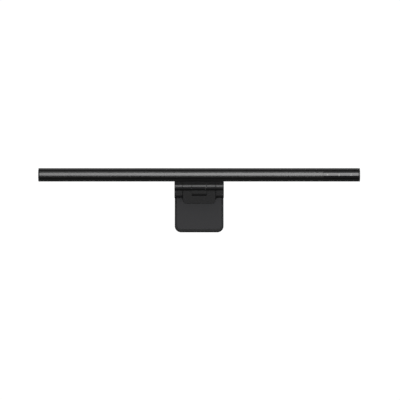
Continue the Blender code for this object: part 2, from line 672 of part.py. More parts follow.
def build_neck(parent):
    """The moulding between tube and hinge: a saddle, a web and the three knuckles that tilt."""
    neck = section("neck_bracket", neck_outline(), -BARREL_HALF, BARREL_HALF)
    finish(neck, "black_plastic", parent)
    join(neck, rod_x("centre_knuckle", BARREL_RADIUS, -CENTRE_NECK, CENTRE_NECK, sides=40))
    for side, name in ((-1, "left"), (1, "right")):
        near, far = side * OUTER_NECK, side * BARREL_HALF
        join(neck, rod_x("outer_knuckle_" + name, BARREL_RADIUS, min(near, far), max(near, far), sides=40))
        near, far = side * CENTRE_NECK, side * OUTER_NECK
        cut(neck, rod_x("clip_clearance_" + name, BARREL_RADIUS + RUN_GAP, min(near, far), max(near, far),
                        sides=40))
        near, far = side * (BARREL_HALF - TILT_POCKET_DEPTH), side * (BARREL_HALF + OVERCUT)
        cut(neck, rod_x("hinge_pocket_" + name, TILT_POCKET_RADIUS, min(near, far), max(near, far)))
        cut(neck, neck_screw_hole("saddle_screw_hole_" + name, side,
                                  BAR_RADIUS + FIT_GAP + NECK_HOLE_DEPTH))
    cut(neck, rod_x("tilt_bore", TILT_PIN_RADIUS + FIT_GAP, -BARREL_HALF, BARREL_HALF))

    for side, name in ((-1, "left"), (1, "right")):
        direction = (math.cos(NECK_SCREW_ANGLE), math.sin(NECK_SCREW_ANGLE))
        seat_reach = math.sqrt(TUBE_INNER ** 2 - SCREW_HEAD_RADIUS ** 2) - FIT_GAP
        tip_reach = BAR_RADIUS + FIT_GAP + NECK_SCREW_BITE
        seat = (side * NECK_SCREW_X, BAR_Y + seat_reach * direction[0], BAR_Z + seat_reach * direction[1])
        tip = (side * NECK_SCREW_X, BAR_Y + tip_reach * direction[0], BAR_Z + tip_reach * direction[1])
        screw_piece("neck_screw_" + name, seat, tip, "black_steel", parent)


def build_tilt_hinge(parent, clip_parent):
    """The friction hinge: pin with a head, spring washer, nut, end caps and friction discs."""
    floor = BARREL_HALF - TILT_POCKET_DEPTH
    head_back = floor + FIT_GAP
    washer_back = floor + FIT_GAP
    nut_back = washer_back + SPRING_WASHER_THICKNESS + FIT_GAP
    nut_face = nut_back + TILT_NUT_HEIGHT
    pin = rod_x("tilt_pin", TILT_PIN_RADIUS, -head_back - TILT_HEAD_HEIGHT / 2, nut_face + TILT_PIN_END)
    finish(pin, "steel", parent)
    join(pin, rod_x("tilt_pin_head", TILT_HEAD_RADIUS, -head_back - TILT_HEAD_HEIGHT, -head_back))

    bore = TILT_PIN_RADIUS + FIT_GAP
    ring_x("tilt_spring_washer", bore, SPRING_WASHER_RADIUS, washer_back,
           washer_back + SPRING_WASHER_THICKNESS, "steel", parent)
    nut = finish(rod_x("tilt_nut", TILT_HEAD_RADIUS, nut_back, nut_face, sides=6), "steel", parent)
    cut(nut, rod_x("tilt_nut_bore", bore, nut_back - OVERCUT, nut_face + OVERCUT))

    for side, name in ((-1, "left"), (1, "right")):
        face = side * BARREL_HALF
        back = side * (BARREL_HALF - PIN_CAP_THICKNESS)
        cap = rod_x("tilt_cap_" + name, TILT_POCKET_RADIUS - FIT_GAP, min(face, back), max(face, back))
        finish(cap, "black_plastic", parent)
        outer = side * (CLIP_HALF + FRICTION_DISC_PROUD)
        inner = side * (CLIP_HALF + FRICTION_DISC_PROUD - FRICTION_DISC_THICKNESS)
        ring_x("friction_disc_" + name, bore, FRICTION_DISC_RADIUS, min(inner, outer), max(inner, outer),
               "nylon", clip_parent)


# ---- clip -------------------------------------------------------------------------------------
def lip_outline():
    """The front lip's face outline, with round lower corners and a notch for the middle knuckle."""
    corner = LEAF_CORNER
    top = TILT_AXIS_Z - BARREL_RADIUS / 4
    points = [(-CLIP_HALF, top), (-CLIP_HALF, corner - LEAF_DROP)]
    points += arc((corner - CLIP_HALF, corner - LEAF_DROP), corner, math.pi, 1.5 * math.pi, 6)[1:]
    points += arc((CLIP_HALF - corner, corner - LEAF_DROP), corner, 1.5 * math.pi, 2 * math.pi, 6)
    points += [(CLIP_HALF, top), (CENTRE_CLIP, top), (CENTRE_CLIP, NOTCH_SILL)]
    return points + [(-CENTRE_CLIP, NOTCH_SILL), (-CENTRE_CLIP, top)]


def shelf_outline():
    """The shelf's side view: a block under the barrel, round in front, with a step up behind."""
    front = TILT_AXIS_Y - SHELF_FRONT
    back = TILT_AXIS_Y + SHELF_BACK
    corner = SHELF_CORNER
    clear = BARREL_RADIUS + RUN_GAP
    step_front = TILT_AXIS_Y + math.sqrt(clear ** 2 - (clear - SHELF_STEP) ** 2) + FIT_GAP
    points = [(step_front, SHELF_TOP), (front, SHELF_TOP)]
    points += arc((front + corner, BRIDGE_UNDERSIDE + corner), corner, math.pi, 1.5 * math.pi, 6)
    points += [(back, BRIDGE_UNDERSIDE), (back, SHELF_TOP + SHELF_STEP)]
    return points + [(step_front, SHELF_TOP + SHELF_STEP)]


def riser_outline():
    """The side view of the web from the bridge up to a leg knuckle, ending inside its circle."""
    front = LEG_AXIS_Y - LEG_KNUCKLE_RADIUS - HINGE_SPACING / 2
    points = [(front, BRIDGE_TOP), (front, BRIDGE_UNDERSIDE)]
    return points + arc((LEG_AXIS_Y, LEG_AXIS_Z), LEG_KNUCKLE_RADIUS - FIT_GAP, RISER_LOW, RISER_HIGH, 8)


def build_clip():
    """The fixed body: shelf with its front lip, two tilt knuckles, the bridge, two leg knuckles."""
    front = TILT_AXIS_Y - LEAF_FRONT
    back = front + LEAF_THICKNESS
    clip = finish(panel("clip_body", lip_outline(), front, back), "black_plastic", None)
    join(clip, section("shelf", shelf_outline(), -BARREL_HALF, BARREL_HALF))
    join(clip, box("bridge", (-CLIP_HALF, TILT_AXIS_Y, BRIDGE_UNDERSIDE),
                   (CLIP_HALF, LEG_AXIS_Y - BRIDGE_BACK, BRIDGE_TOP)))
    for side, name in ((-1, "left"), (1, "right")):
        low, high = sorted((side * CENTRE_CLIP, side * CLIP_HALF))
        join(clip, box("stand_" + name, (low, front + LEAF_THICKNESS / 2, SHELF_TOP - SHELF_CORNER),
                       (high, TILT_AXIS_Y + LEAF_FRONT, TILT_AXIS_Z)))
        join(clip, rod_x("inner_knuckle_" + name, BARREL_RADIUS, low, high, TILT_AXIS, 40))
        join(clip, section("riser_" + name, riser_outline(), low, high))
        join(clip, rod_x("leg_knuckle_" + name, LEG_KNUCKLE_RADIUS, low, high, (LEG_AXIS_Y, LEG_AXIS_Z)))
        disc_back = CLIP_HALF + FRICTION_DISC_PROUD - FRICTION_DISC_THICKNESS - FIT_GAP
        low, high = sorted((side * disc_back, side * (CLIP_HALF + OVERCUT)))
        cut(clip, rod_x("disc_seat_" + name, FRICTION_DISC_RADIUS + FIT_GAP, low, high, TILT_AXIS))
    cut(clip, rod_x("clip_tilt_bore", TILT_PIN_RADIUS + FIT_GAP, -BARREL_HALF, BARREL_HALF, TILT_AXIS))
    cut(clip, rod_x("clip_leg_bore", LEG_PIN_RADIUS + FIT_GAP, -BARREL_HALF, BARREL_HALF,
                    (LEG_AXIS_Y, LEG_AXIS_Z)))

    lip_front = back + FIT_GAP
    lip_back = lip_front + PAD_THICKNESS
    lip = box("lip_pad", (-CLIP_PAD_HALF, lip_front, 2 * FIT_GAP - LEAF_DROP),
              (CLIP_PAD_HALF, lip_back, -FIT_GAP))
    finish(lip, "silicone")
    seat = box("top_pad", (-CLIP_PAD_HALF, lip_back + 2 * FIT_GAP, 0.0),
               (CLIP_PAD_HALF, LEG_AXIS_Y - TOP_PAD_SETBACK, PAD_THICKNESS))
    finish(seat, "silicone")


# ---- rear leg ---------------------------------------------------------------------------------
def leg_outline(inset, arm_top, notch_inset):
    """The leg's face: a plate with round lower corners and an arm up each side to the hinge."""
    half = LEG_HALF - inset
    bottom = inset - LEG_LENGTH
    corner = LEG_CORNER - inset
    notch = OUTER_NECK + notch_inset
    notch_top = -LEG_NOTCH - notch_inset
    points = [(-half, -arm_top)]
    points += arc((corner - half, bottom + corner), corner, math.pi, 1.5 * math.pi, 8)
    points += arc((half - corner, bottom + corner), corner, 1.5 * math.pi, 2 * math.pi, 8)
    points += [(half, -arm_top), (notch, -arm_top), (notch, notch_top), (-notch, notch_top)]
    return points + [(-notch, -arm_top)]


def pocket_outline(gap):
    """The counterweight pocket in the leg's back, less a gap for what fits inside it."""
    half_width = LEG_HALF - LEG_SIDE_WALL - gap
    high = -LEG_NOTCH - LEG_SIDE_WALL - gap
    low = LEG_SIDE_WALL + gap - LEG_LENGTH
    corner = LEG_CORNER - LEG_SIDE_WALL - gap
    return shifted(rounded_rectangle(half_width, (high - low) / 2, corner, 6), 0.0, (high + low) / 2)


def build_leg(parent):
    """The weighted leg behind the monitor: frame, counterweight, back cover, screws and pad."""
    frame = finish(panel("leg_frame", leg_outline(0.0, 0.0, 0.0), -LEG_FRONT, LEG_BACK), "black_plastic",
                   parent)
    edge = frame.modifiers.new("edge", "BEVEL")
    edge.width = LEG_EDGE
    edge.segments = 2
    edge.angle_limit = EDGE_ANGLE
    recess_floor = LEG_PAD_RECESS - LEG_FRONT
    pocket_floor = recess_floor + LEG_FLOOR
    cover_front = LEG_BACK - LEG_COVER_RECESS - LEG_COVER_THICKNESS
    for side, name in ((-1, "left"), (1, "right")):
        low, high = sorted((side * OUTER_NECK, side * LEG_HALF))
        join(frame, rod_x("leg_end_knuckle_" + name, LEG_KNUCKLE_RADIUS, low, high))
    recess = leg_outline(LEG_RIM, LEG_PAD_ARM_TOP, LEG_PAD_ARM_EDGE)
    cut(frame, panel("pad_recess", recess, -2 * LEG_FRONT, recess_floor))
    cut(frame, panel("weight_pocket", pocket_outline(0.0), pocket_floor, 2 * LEG_BACK))

    boss_top = cover_front - FIT_GAP
    pocket_top = -LEG_NOTCH - LEG_SIDE_WALL
    pocket_bottom = LEG_SIDE_WALL - LEG_LENGTH
    places = []
    for side in (-1, 1):
        for height in (pocket_top - BOSS_INSET_Z, pocket_bottom + BOSS_INSET_Z):
            places.append((side * BOSS_X, height))
    for index, (x, z) in enumerate(places, 1):
        join(frame, rod_along(f"boss_{index}", BOSS_RADIUS, (x, pocket_floor - LEG_FLOOR / 2, z),
                              (x, boss_top, z), 16))
    for index, (x, z) in enumerate(places, 1):
        cut(frame, rod_along(f"boss_hole_{index}", SCREW_SHANK_RADIUS + FIT_GAP,
                             (x, pocket_floor, z), (x, LEG_BACK, z)))
    for side, name in ((-1, "left"), (1, "right")):
        near, far = side * (LEG_HALF - LEG_CAP_THICKNESS - FIT_GAP), side * (LEG_HALF + OVERCUT)
        low, high = sorted((near, far))
        cut(frame, rod_x("leg_cap_seat_" + name, LEG_CAP_RADIUS + FIT_GAP, low, high))
        low, high = sorted((side * (LEG_HALF - LEG_CAP_THICKNESS), side * LEG_HALF))
        finish(rod_x("leg_pin_cap_" + name, LEG_CAP_RADIUS, low, high, sides=24), "black_plastic", parent)
    cut(frame, rod_x("leg_bore", LEG_PIN_RADIUS + FIT_GAP, -LEG_HALF, LEG_HALF))
    cut(frame, tail_socket())

    weight_low = pocket_bottom + WEIGHT_MARGIN
    weight_high = pocket_top - WEIGHT_MARGIN
    weight = box("counterweight", (-WEIGHT_HALF_WIDTH, pocket_floor + FIT_GAP, weight_low),
                 (WEIGHT_HALF_WIDTH, boss_top, weight_high))
    finish(weight, "steel", parent)

    cover_back = cover_front + LEG_COVER_THICKNESS
    cover = panel("leg_cover", pocket_outline(FIT_GAP), cover_front, cover_back)
    finish(cover, "black_plastic", parent)
    seat = cover_back - SCREW_HEAD_HEIGHT - FIT_GAP / 2
    for index, (x, z) in enumerate(places, 1):
        cut(cover, rod_along(f"head_seat_{index}", SCREW_HEAD_RADIUS + FIT_GAP,
                             (x, seat - FIT_GAP, z), (x, cover_back + OVERCUT, z), 16))
        cut(cover, rod_along(f"cover_hole_{index}", SCREW_SHANK_RADIUS + FIT_GAP,
                             (x, cover_front - OVERCUT, z), (x, cover_back + OVERCUT, z)))
        screw_piece(f"leg_screw_{index}", (x, seat, z), (x, pocket_floor + FIT_GAP, z), "black_steel",
                    parent)

    pad = leg_outline(LEG_RIM + FIT_GAP, LEG_PAD_ARM_TOP + FIT_GAP, LEG_PAD_ARM_EDGE + FIT_GAP)
    pad_back = recess_floor - FIT_GAP
    finish(panel("leg_pad", pad, -LEG_FRONT - LEG_PAD_PROUD, pad_back), "silicone", parent)


def tail_points():
    """The spring's tail in the leg: it leaves the coil on a tangent and runs down into the leg."""
    start = (SPRING_RADIUS * math.cos(SPRING_END_ANGLE), SPRING_RADIUS * math.sin(SPRING_END_ANGLE))
    along = (-math.sin(SPRING_END_ANGLE), math.cos(SPRING_END_ANGLE))
    end = (start[0] + SPRING_LEG_TAIL * along[0], start[1] + SPRING_LEG_TAIL * along[1])
    return start, end


def tail_socket():
    """The hole in the leg's upper edge that takes the spring's tail."""
    start, end = tail_points()
    along = (-math.sin(SPRING_END_ANGLE), math.cos(SPRING_END_ANGLE))
    tip = (end[0] + FIT_GAP * along[0], end[1] + FIT_GAP * along[1])
    return rod_along("tail_socket", SPRING_WIRE_RADIUS + FIT_GAP, (SPRING_HALF, *start),
                     (SPRING_HALF, *tip), 12)


def build_leg_hinge():
    """The fixed pin through the leg's knuckles, with the torsion spring on its sleeve."""
    axis = (LEG_AXIS_Y, LEG_AXIS_Z)
    finish(rod_x("leg_pin", LEG_PIN_RADIUS, -LEG_PIN_HALF, LEG_PIN_HALF, axis), "steel")
    half = CENTRE_CLIP - FIT_GAP
    sleeve = rod_x("spring_sleeve", SLEEVE_RADIUS, -half, half, axis, 24)
    finish(sleeve, "nylon")
    cut(sleeve, rod_x("sleeve_bore", LEG_PIN_RADIUS + FIT_GAP, -CENTRE_SPLIT, CENTRE_SPLIT, axis))

    start_angle = -math.pi / 2
    end_angle = SPRING_END_ANGLE + LEG_REST_TILT + 2 * math.pi * SPRING_TURNS
    steps = int(SPRING_TURN_STEPS * (end_angle - start_angle) / (2 * math.pi))
    points = [(-SPRING_HALF, -SPRING_FRONT_TAIL, -SPRING_RADIUS)]
    for step in range(steps + 1):
        part = step / steps
        angle = start_angle + (end_angle - start_angle) * part
        points.append((SPRING_HALF * (2 * part - 1), SPRING_RADIUS * math.cos(angle),
                       SPRING_RADIUS * math.sin(angle)))
    end = Vector((SPRING_HALF, *tail_points()[1]))
    end.rotate(pivot_turn())
    points.append(tuple(end))
    curve = bpy.data.curves.new("torsion_spring", "CURVE")
    curve.dimensions = "3D"
    curve.bevel_depth = SPRING_WIRE_RADIUS
    curve.bevel_resolution = 2
    curve.use_fill_caps = True
    spline = curve.splines.new("POLY")
    spline.points.add(len(points) - 1)
    for point, place_at in zip(spline.points, points):
        point.co = (*place_at, 1.0)
    spring = bpy.data.objects.new("torsion_spring", curve)
    spring.location = (0.0, *axis)
    bpy.context.scene.collection.objects.link(spring)
    finish(spring, "steel")


def pivot_turn():
    """The leg's rest tilt about the X axis, as a rotation."""
    return Vector((0.0, 1.0, 0.0)).rotation_difference(
        Vector((0.0, math.cos(LEG_REST_TILT), math.sin(LEG_REST_TILT))))


def main():
    tilt_pivot = pivot("tilt_pivot", (0.0, *TILT_AXIS))
    leg_pivot = pivot("leg_pivot", (0.0, LEG_AXIS_Y, LEG_AXIS_Z), LEG_REST_TILT)
    build_tube(tilt_pivot)
    build_diffuser(tilt_pivot)
    build_end_cap(-1, "left", tilt_pivot)
    build_end_cap(1, "right", tilt_pivot)
    build_light_engine(tilt_pivot)
    build_touch_keys(tilt_pivot)
    build_driver(tilt_pivot)
    build_neck(tilt_pivot)
    fixed_pivot = pivot("fixed_pivot", (0.0, *TILT_AXIS))
    build_tilt_hinge(tilt_pivot, fixed_pivot)
    build_clip()
    build_leg(leg_pivot)
    build_leg_hinge()


main()
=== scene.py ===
# %% [markdown]
# A monitor light bar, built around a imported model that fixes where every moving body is. The packed
# model gives the sizes; this script gives the finer surfaces, the finishes, the light and the
# camera. Everything is in metres, with Z up and the front towards -Y.

# %% Load the fixed frame
import json
import math

import bpy
import numpy as np
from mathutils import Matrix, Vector


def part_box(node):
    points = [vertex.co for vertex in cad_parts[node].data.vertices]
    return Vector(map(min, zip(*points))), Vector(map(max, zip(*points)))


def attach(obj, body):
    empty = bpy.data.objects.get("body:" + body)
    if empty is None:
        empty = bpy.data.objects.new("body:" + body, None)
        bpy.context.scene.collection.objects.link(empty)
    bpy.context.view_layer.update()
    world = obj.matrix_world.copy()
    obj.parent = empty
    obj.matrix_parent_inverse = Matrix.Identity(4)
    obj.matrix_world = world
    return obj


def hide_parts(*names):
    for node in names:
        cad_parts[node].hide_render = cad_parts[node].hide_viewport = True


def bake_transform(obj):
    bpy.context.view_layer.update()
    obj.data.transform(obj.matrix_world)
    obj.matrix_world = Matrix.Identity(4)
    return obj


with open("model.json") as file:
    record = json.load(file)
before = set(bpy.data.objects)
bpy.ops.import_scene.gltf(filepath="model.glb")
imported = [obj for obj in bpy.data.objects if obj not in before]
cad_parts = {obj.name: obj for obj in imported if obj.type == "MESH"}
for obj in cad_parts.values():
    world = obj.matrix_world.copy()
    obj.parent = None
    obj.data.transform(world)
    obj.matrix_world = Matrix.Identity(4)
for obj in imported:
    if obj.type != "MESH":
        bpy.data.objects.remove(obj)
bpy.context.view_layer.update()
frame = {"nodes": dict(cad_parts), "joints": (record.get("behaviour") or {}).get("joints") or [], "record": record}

NODES = frame["nodes"]
MM = 0.001
print("loaded", len(NODES), "nodes")

# %% [markdown]
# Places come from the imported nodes, so that nothing has to be fitted by eye. The lamp tube gives
# the lamp's axis and radius, the two joints give the hinge axes, and the leg's mount gives how far
# the leg leans at rest.

# %% Places taken from the frame
tube_low, tube_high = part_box("bar_tube")
cap_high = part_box("end_cap_right")[1]
BAR_RADIUS = round((tube_high.y - tube_low.y) / 2, 4)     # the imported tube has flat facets
BAR_Y = (tube_high.y + tube_low.y) / 2
BAR_Z = cap_high.z - BAR_RADIUS
TUBE_END = tube_high.x
BAR_END = cap_high.x
WALL = 1.2 * MM
JOINT = {joint["name"]: joint["pos_m"] for joint in frame["joints"]}
TILT_Y, TILT_Z = JOINT["bar_tilt"][1:]
LEG_Y, LEG_Z = JOINT["leg_open"][1:]
leg_mount = [m for m in frame["record"]["mounts"] if m["name"] == "rear_leg_rest"][0]
LEAN = -math.asin(leg_mount["axis"][2])
print("bar radius", BAR_RADIUS, "leg lean in degrees", math.degrees(LEAN))

# %% [markdown]
# Nearly every moulded piece here is a flat outline given a thickness, with its edges rounded the
# way a mould rounds them. It could be a cube with a bevel, but an outline that shrinks on a quarter
# circle near each end gives an even edge on any shape. The outline is turned into rings, the rings
# become one grid of faces, and the two ends are closed by one flat face each.

# %% Outlines: arcs and softened corners
SIDES = ((-1, "left"), (1, "right"))
SMOOTH = 35.0     # edges that turn less than this, in degrees, are shaded smooth


def arc(centre, radius, start, end, steps):
    """Points (centre + radius x (cos a, sin a)) with the angle a, in degrees, going evenly."""
    angle = np.radians(np.linspace(start, end, steps + 1))
    return np.stack([centre[0] + radius * np.cos(angle), centre[1] + radius * np.sin(angle)], 1)


def rounded_box(half, low, high, corner, steps):
    """A rectangle from -half to half and from low to high, with a quarter circle at each corner."""
    middles = [(half - corner, high - corner), (corner - half, high - corner),
               (corner - half, low + corner), (half - corner, low + corner)]
    return np.concatenate([arc(middle, corner, start, start + 90, steps)
                           for middle, start in zip(middles, (0, 90, 180, 270))])


def softened(corner, radius, steps=4):
    """Each corner P becomes the curve (1-s)^2 A + 2s(1-s) P + s^2 B, where A and B lie on its two
    sides at a radius from it; s runs from 0 to 1."""
    back = np.roll(corner, 1, axis=0) - corner
    ahead = np.roll(corner, -1, axis=0) - corner
    before = corner + back / np.linalg.norm(back, axis=1, keepdims=True) * radius
    after = corner + ahead / np.linalg.norm(ahead, axis=1, keepdims=True) * radius
    s = np.linspace(0.0, 1.0, steps + 1)[None, :, None]
    curve = (1 - s) ** 2 * before[:, None] + 2 * s * (1 - s) * corner[:, None] + s ** 2 * after[:, None]
    return curve.reshape(-1, 2)


def shrunk(outline, inset):
    """The outline moved inwards: each point goes along (n1 + n2) / (1 + n1.n2), where n1 and n2
    are the outward normals of the two sides that meet there."""
    side = np.roll(outline, -1, axis=0) - outline
    normal = np.stack([side[:, 1], -side[:, 0]], 1) / np.linalg.norm(side, axis=1, keepdims=True)
    before = np.roll(normal, 1, axis=0)
    share = 1 + (before * normal).sum(1, keepdims=True)
    return outline - inset * (before + normal) / share


print("a softened square has", len(softened(np.array([[0, 0], [1, 0], [1, 1], [0, 1.0]]), 0.2)), "points")

# %% [markdown]
# Rings of points become a mesh here. Blender could bridge the loops one by one, but the whole grid
# of faces is one array of numbers, so it is made in one go and can be any length.


# %% From rings to a mesh
def piece_from_rings(name, rings, smooth=SMOOTH):
    """A mesh from (stations, around, 3) points: quads between neighbouring rings, and one flat face
    on each end. A negative volume means that it is inside out, and then every face is turned
    round."""
    stations, around = rings.shape[:2]
    index = np.arange(stations * around).reshape(stations, around)
    a, b = index[:-1], index[1:]
    quads = np.stack([a, np.roll(a, -1, axis=1), np.roll(b, -1, axis=1), b], 2).reshape(-1, 4)
    faces = quads.tolist() + [index[0][::-1].tolist(), index[-1].tolist()]
    points = rings.reshape(-1, 3)
    middle = points.mean(0)
    corner = points[quads] - middle
    volume = np.einsum("ij,ij->i", corner[:, 0], np.cross(corner[:, 1], corner[:, 2])).sum()
    volume += np.einsum("ij,ij->i", corner[:, 0], np.cross(corner[:, 2], corner[:, 3])).sum()
    if volume < 0:
        faces = [face[::-1] for face in faces]
    mesh = bpy.data.meshes.new(name)
    mesh.from_pydata(points.tolist(), [], faces)
    mesh.update()
    piece = bpy.data.objects.new(name, mesh)
    bpy.context.scene.collection.objects.link(piece)
    mesh.shade_smooth()
    mesh.set_sharp_from_angle(angle=math.radians(smooth))
    return piece


def even_shading(piece):
    """Large faces keep their own direction, so that a flat face stays flat up to its edge."""
    weighted = piece.modifiers.new("even shading", "WEIGHTED_NORMAL")
    weighted.keep_sharp = True
    return piece


# %% [markdown]
# An outline is drawn flat, as (u, v), and its thickness runs along t. These small functions say how
# the three lie in space. An object's rotation could do it, but a finished piece has its place in
# its mesh, so the points themselves are laid out.


# %% Ways to lay an outline (u, v) with its thickness t into space
def along_x(u, v, t):
    """u goes along Y, v along Z and t along X."""
    return np.stack([t, u, v], -1)


def along_y(u, v, t):
    """u goes along X, v along Z and t along Y."""
    return np.stack([u, t, v], -1)


def leaned(points):
    """Turn points about the X axis by the leg's lean and carry them to the leg's axis."""
    y = points[..., 1] * math.cos(LEAN) - points[..., 2] * math.sin(LEAN)
    z = points[..., 1] * math.sin(LEAN) + points[..., 2] * math.cos(LEAN)
    return np.stack([points[..., 0], y + LEG_Y, z + LEG_Z], -1)


def leg_face(u, v, t):
    """The same as along_y, on the leaning leg."""
    return leaned(along_y(u, v, t))


def leg_across(u, v, t):
    """The same as along_x, on the leaning leg."""
    return leaned(along_x(u, v, t))


def slab(name, outline, low, high, place, edge=0.3 * MM, steps=4, smooth=SMOOTH):
    """An outline carried from low to high. Near each end it shrinks by edge x (1 - sin a) while the
    path covers edge x (1 - cos a), a quarter circle in a."""
    outline = np.asarray(outline, float)
    area = (outline[:, 0] * np.roll(outline[:, 1], -1) - np.roll(outline[:, 0], -1) * outline[:, 1]).sum()
    outline = outline if area > 0 else outline[::-1]
    low, high = min(low, high), max(low, high)
    turn = np.linspace(0.0, math.pi / 2, steps + 1)
    inset = edge * (1 - np.sin(turn))
    travel = edge * (1 - np.cos(turn))
    insets = np.concatenate([inset, inset[::-1]])
    path = np.concatenate([low + travel, high - travel[::-1]])
    rings = np.stack([shrunk(outline, value) for value in insets])
    t = np.broadcast_to(path[:, None], rings.shape[:2])
    return even_shading(piece_from_rings(name, place(rings[..., 0], rings[..., 1], t), smooth=smooth))


def turned(name, profile, place, sides=64):
    """A profile of (distance along the axis, radius) turned about that axis: ring k is
    radius x (cos a, sin a) at its distance."""
    profile = np.asarray(profile, float)
    angle = np.linspace(0.0, 2 * math.pi, sides, endpoint=False)
    u = profile[:, 1, None] * np.cos(angle)[None]
    v = profile[:, 1, None] * np.sin(angle)[None]
    t = np.broadcast_to(profile[:, 0, None], u.shape)
    return even_shading(piece_from_rings(name, place(u, v, t)))


def about(centre):
    """Lay an outline along X with its middle moved to a centre."""
    return lambda u, v, t: along_x(u + centre[0], v + centre[1], t)


# %% [markdown]
# Windows, pockets and recesses are cut with a second solid, as a milling cutter would. The edges
# that a cut leaves are sharp, so where the real edge is moulded round a Bevel modifier follows.


# %% Cutting one piece with another
def carve(piece, cutter, operation="DIFFERENCE"):
    """Cut a piece with a second solid, keep the result as its mesh and remove the cutter."""
    for thing in (piece, cutter):
        for modifier in list(thing.modifiers):
            thing.modifiers.remove(modifier)
    modifier = piece.modifiers.new("carve", "BOOLEAN")
    modifier.operation = operation
    modifier.solver = "MANIFOLD"
    modifier.object = cutter
    bpy.context.view_layer.update()
    evaluated = piece.evaluated_get(bpy.context.evaluated_depsgraph_get())
    mesh = bpy.data.meshes.new_from_object(evaluated)
    piece.modifiers.clear()
    piece.data = mesh
    bpy.data.objects.remove(cutter, do_unlink=True)
    mesh.shade_smooth()
    mesh.set_sharp_from_angle(angle=math.radians(SMOOTH))
    return even_shading(piece)


def bevelled(piece, width, segments=3, angle=40.0):
    """Round every edge that turns more than an angle, then keep the flat faces flat."""
    piece.modifiers.clear()
    round_off = piece.modifiers.new("mould radius", "BEVEL")
    round_off.width = width
    round_off.segments = segments
    round_off.limit_method = "ANGLE"
    round_off.angle_limit = math.radians(angle)
    round_off.use_clamp_overlap = True
    round_off.miter_outer = "MITER_ARC"
    return even_shading(piece)


def plain(name, outline, low, high, place):
    """A slab with sharp ends, for pieces that are joined first and rounded afterwards."""
    return slab(name, outline, low, high, place, 0.0, 0)


# %% [markdown]
# Finishes. Each real surface here is nearly one colour, so what makes it look real is how its
# gloss and its small relief vary. One node-adding function keeps the recipes short, and one recipe
# is shared by the finishes: a fine grain at the real size of the texture, and a broad, soft change
# of gloss such as handling leaves.

# %% Colour and node helpers
def linear(hex_colour, alpha=1.0):
    """An sRGB hex colour as the linear values that a shader takes."""
    channel = np.array([int(hex_colour[i:i + 2], 16) for i in (1, 3, 5)]) / 255.0
    low, high = channel / 12.92, ((channel + 0.055) / 1.055) ** 2.4
    return (*np.where(channel <= 0.04045, low, high).tolist(), alpha)


COLOUR_A, COLOUR_B, COLOUR_OUT = 6, 7, 2    # the colour sockets of a Mix node


def add(tree, kind, inputs=None, **settings):
    """Add one node, set its properties, and set or link its inputs: a socket links, a value sets."""
    node = tree.nodes.new(kind)
    for key, value in settings.items():
        setattr(node, key, value)
    for key, value in (inputs or {}).items():
        if isinstance(value, bpy.types.NodeSocket):
            tree.links.new(value, node.inputs[key])
        else:
            node.inputs[key].default_value = value
    return node


def finish_recipe(name, dark, light, grain, gloss, relief, broad, sockets=None, stretch=(1.0, 1.0, 1.0)):
    """A finish from its two colours, its grain size, its range of roughness, the height of its
    relief and the size of its broad change. A noise has a scale of one over the size of its spots,
    and a stretch under 1 draws the spots out along that axis."""
    print("finish:", name)
    material = bpy.data.materials.new(name)
    material.use_nodes = True
    tree = material.node_tree
    tree.nodes.clear()
    place = add(tree, "ShaderNodeTexCoord")
    spread = add(tree, "ShaderNodeMapping", {"Vector": place.outputs["Object"], "Scale": stretch})
    fine = add(tree, "ShaderNodeTexNoise", {"Vector": spread.outputs["Vector"], "Scale": 1 / grain,
                                            "Detail": 4.0, "Roughness": 0.55})
    wide = add(tree, "ShaderNodeTexNoise", {"Vector": place.outputs["Object"], "Scale": 1 / broad,
                                            "Detail": 3.0, "Roughness": 0.5})
    both = add(tree, "ShaderNodeMix", {"Factor": 0.45, "A": fine.outputs["Fac"], "B": wide.outputs["Fac"]})
    tint = add(tree, "ShaderNodeMix", data_type="RGBA")
    tree.links.new(both.outputs["Result"], tint.inputs["Factor"])
    tint.inputs[COLOUR_A].default_value = linear(dark)
    tint.inputs[COLOUR_B].default_value = linear(light)
    rough = add(tree, "ShaderNodeMapRange", {"Value": both.outputs["Result"], "From Min": 0.3,
                                             "From Max": 0.7, "To Min": gloss[0], "To Max": gloss[1]})
    bump = add(tree, "ShaderNodeBump", {"Height": fine.outputs["Fac"], "Strength": 1.0,
                                        "Distance": relief})
    shader = add(tree, "ShaderNodeBsdfPrincipled", {"Base Color": tint.outputs[COLOUR_OUT],
                                                    "Roughness": rough.outputs["Result"],
                                                    "Normal": bump.outputs["Normal"]})
    for key, value in (sockets or {}).items():
        shader.inputs[key].default_value = value
    add(tree, "ShaderNodeOutputMaterial", {"Surface": shader.outputs["BSDF"]})
    return material


# %% [markdown]
# Black anodised aluminium is an extrusion that was etched, dyed and sealed. It is a metal, so it
# reflects in its own dark colour, and its grain runs the way it was pushed through the die. Plain
# black paint would look flat beside it. The stretch below draws the grain out 40 times along X.

# %% Anodised aluminium and mill aluminium
ANODISED = finish_recipe("black anodised aluminium, satin", "#3b3b3b", "#454545", 0.9 * MM,
                         (0.27, 0.33), 0.002 * MM, 60 * MM, {"Metallic": 1.0}, (1 / 40, 1.0, 1.0))
MILL = finish_recipe("mill-finish aluminium", "#b4b6b8", "#cdcfd1", 0.4 * MM,
                     (0.3, 0.42), 0.004 * MM, 30 * MM, {"Metallic": 1.0}, (1 / 50, 1.0, 1.0))
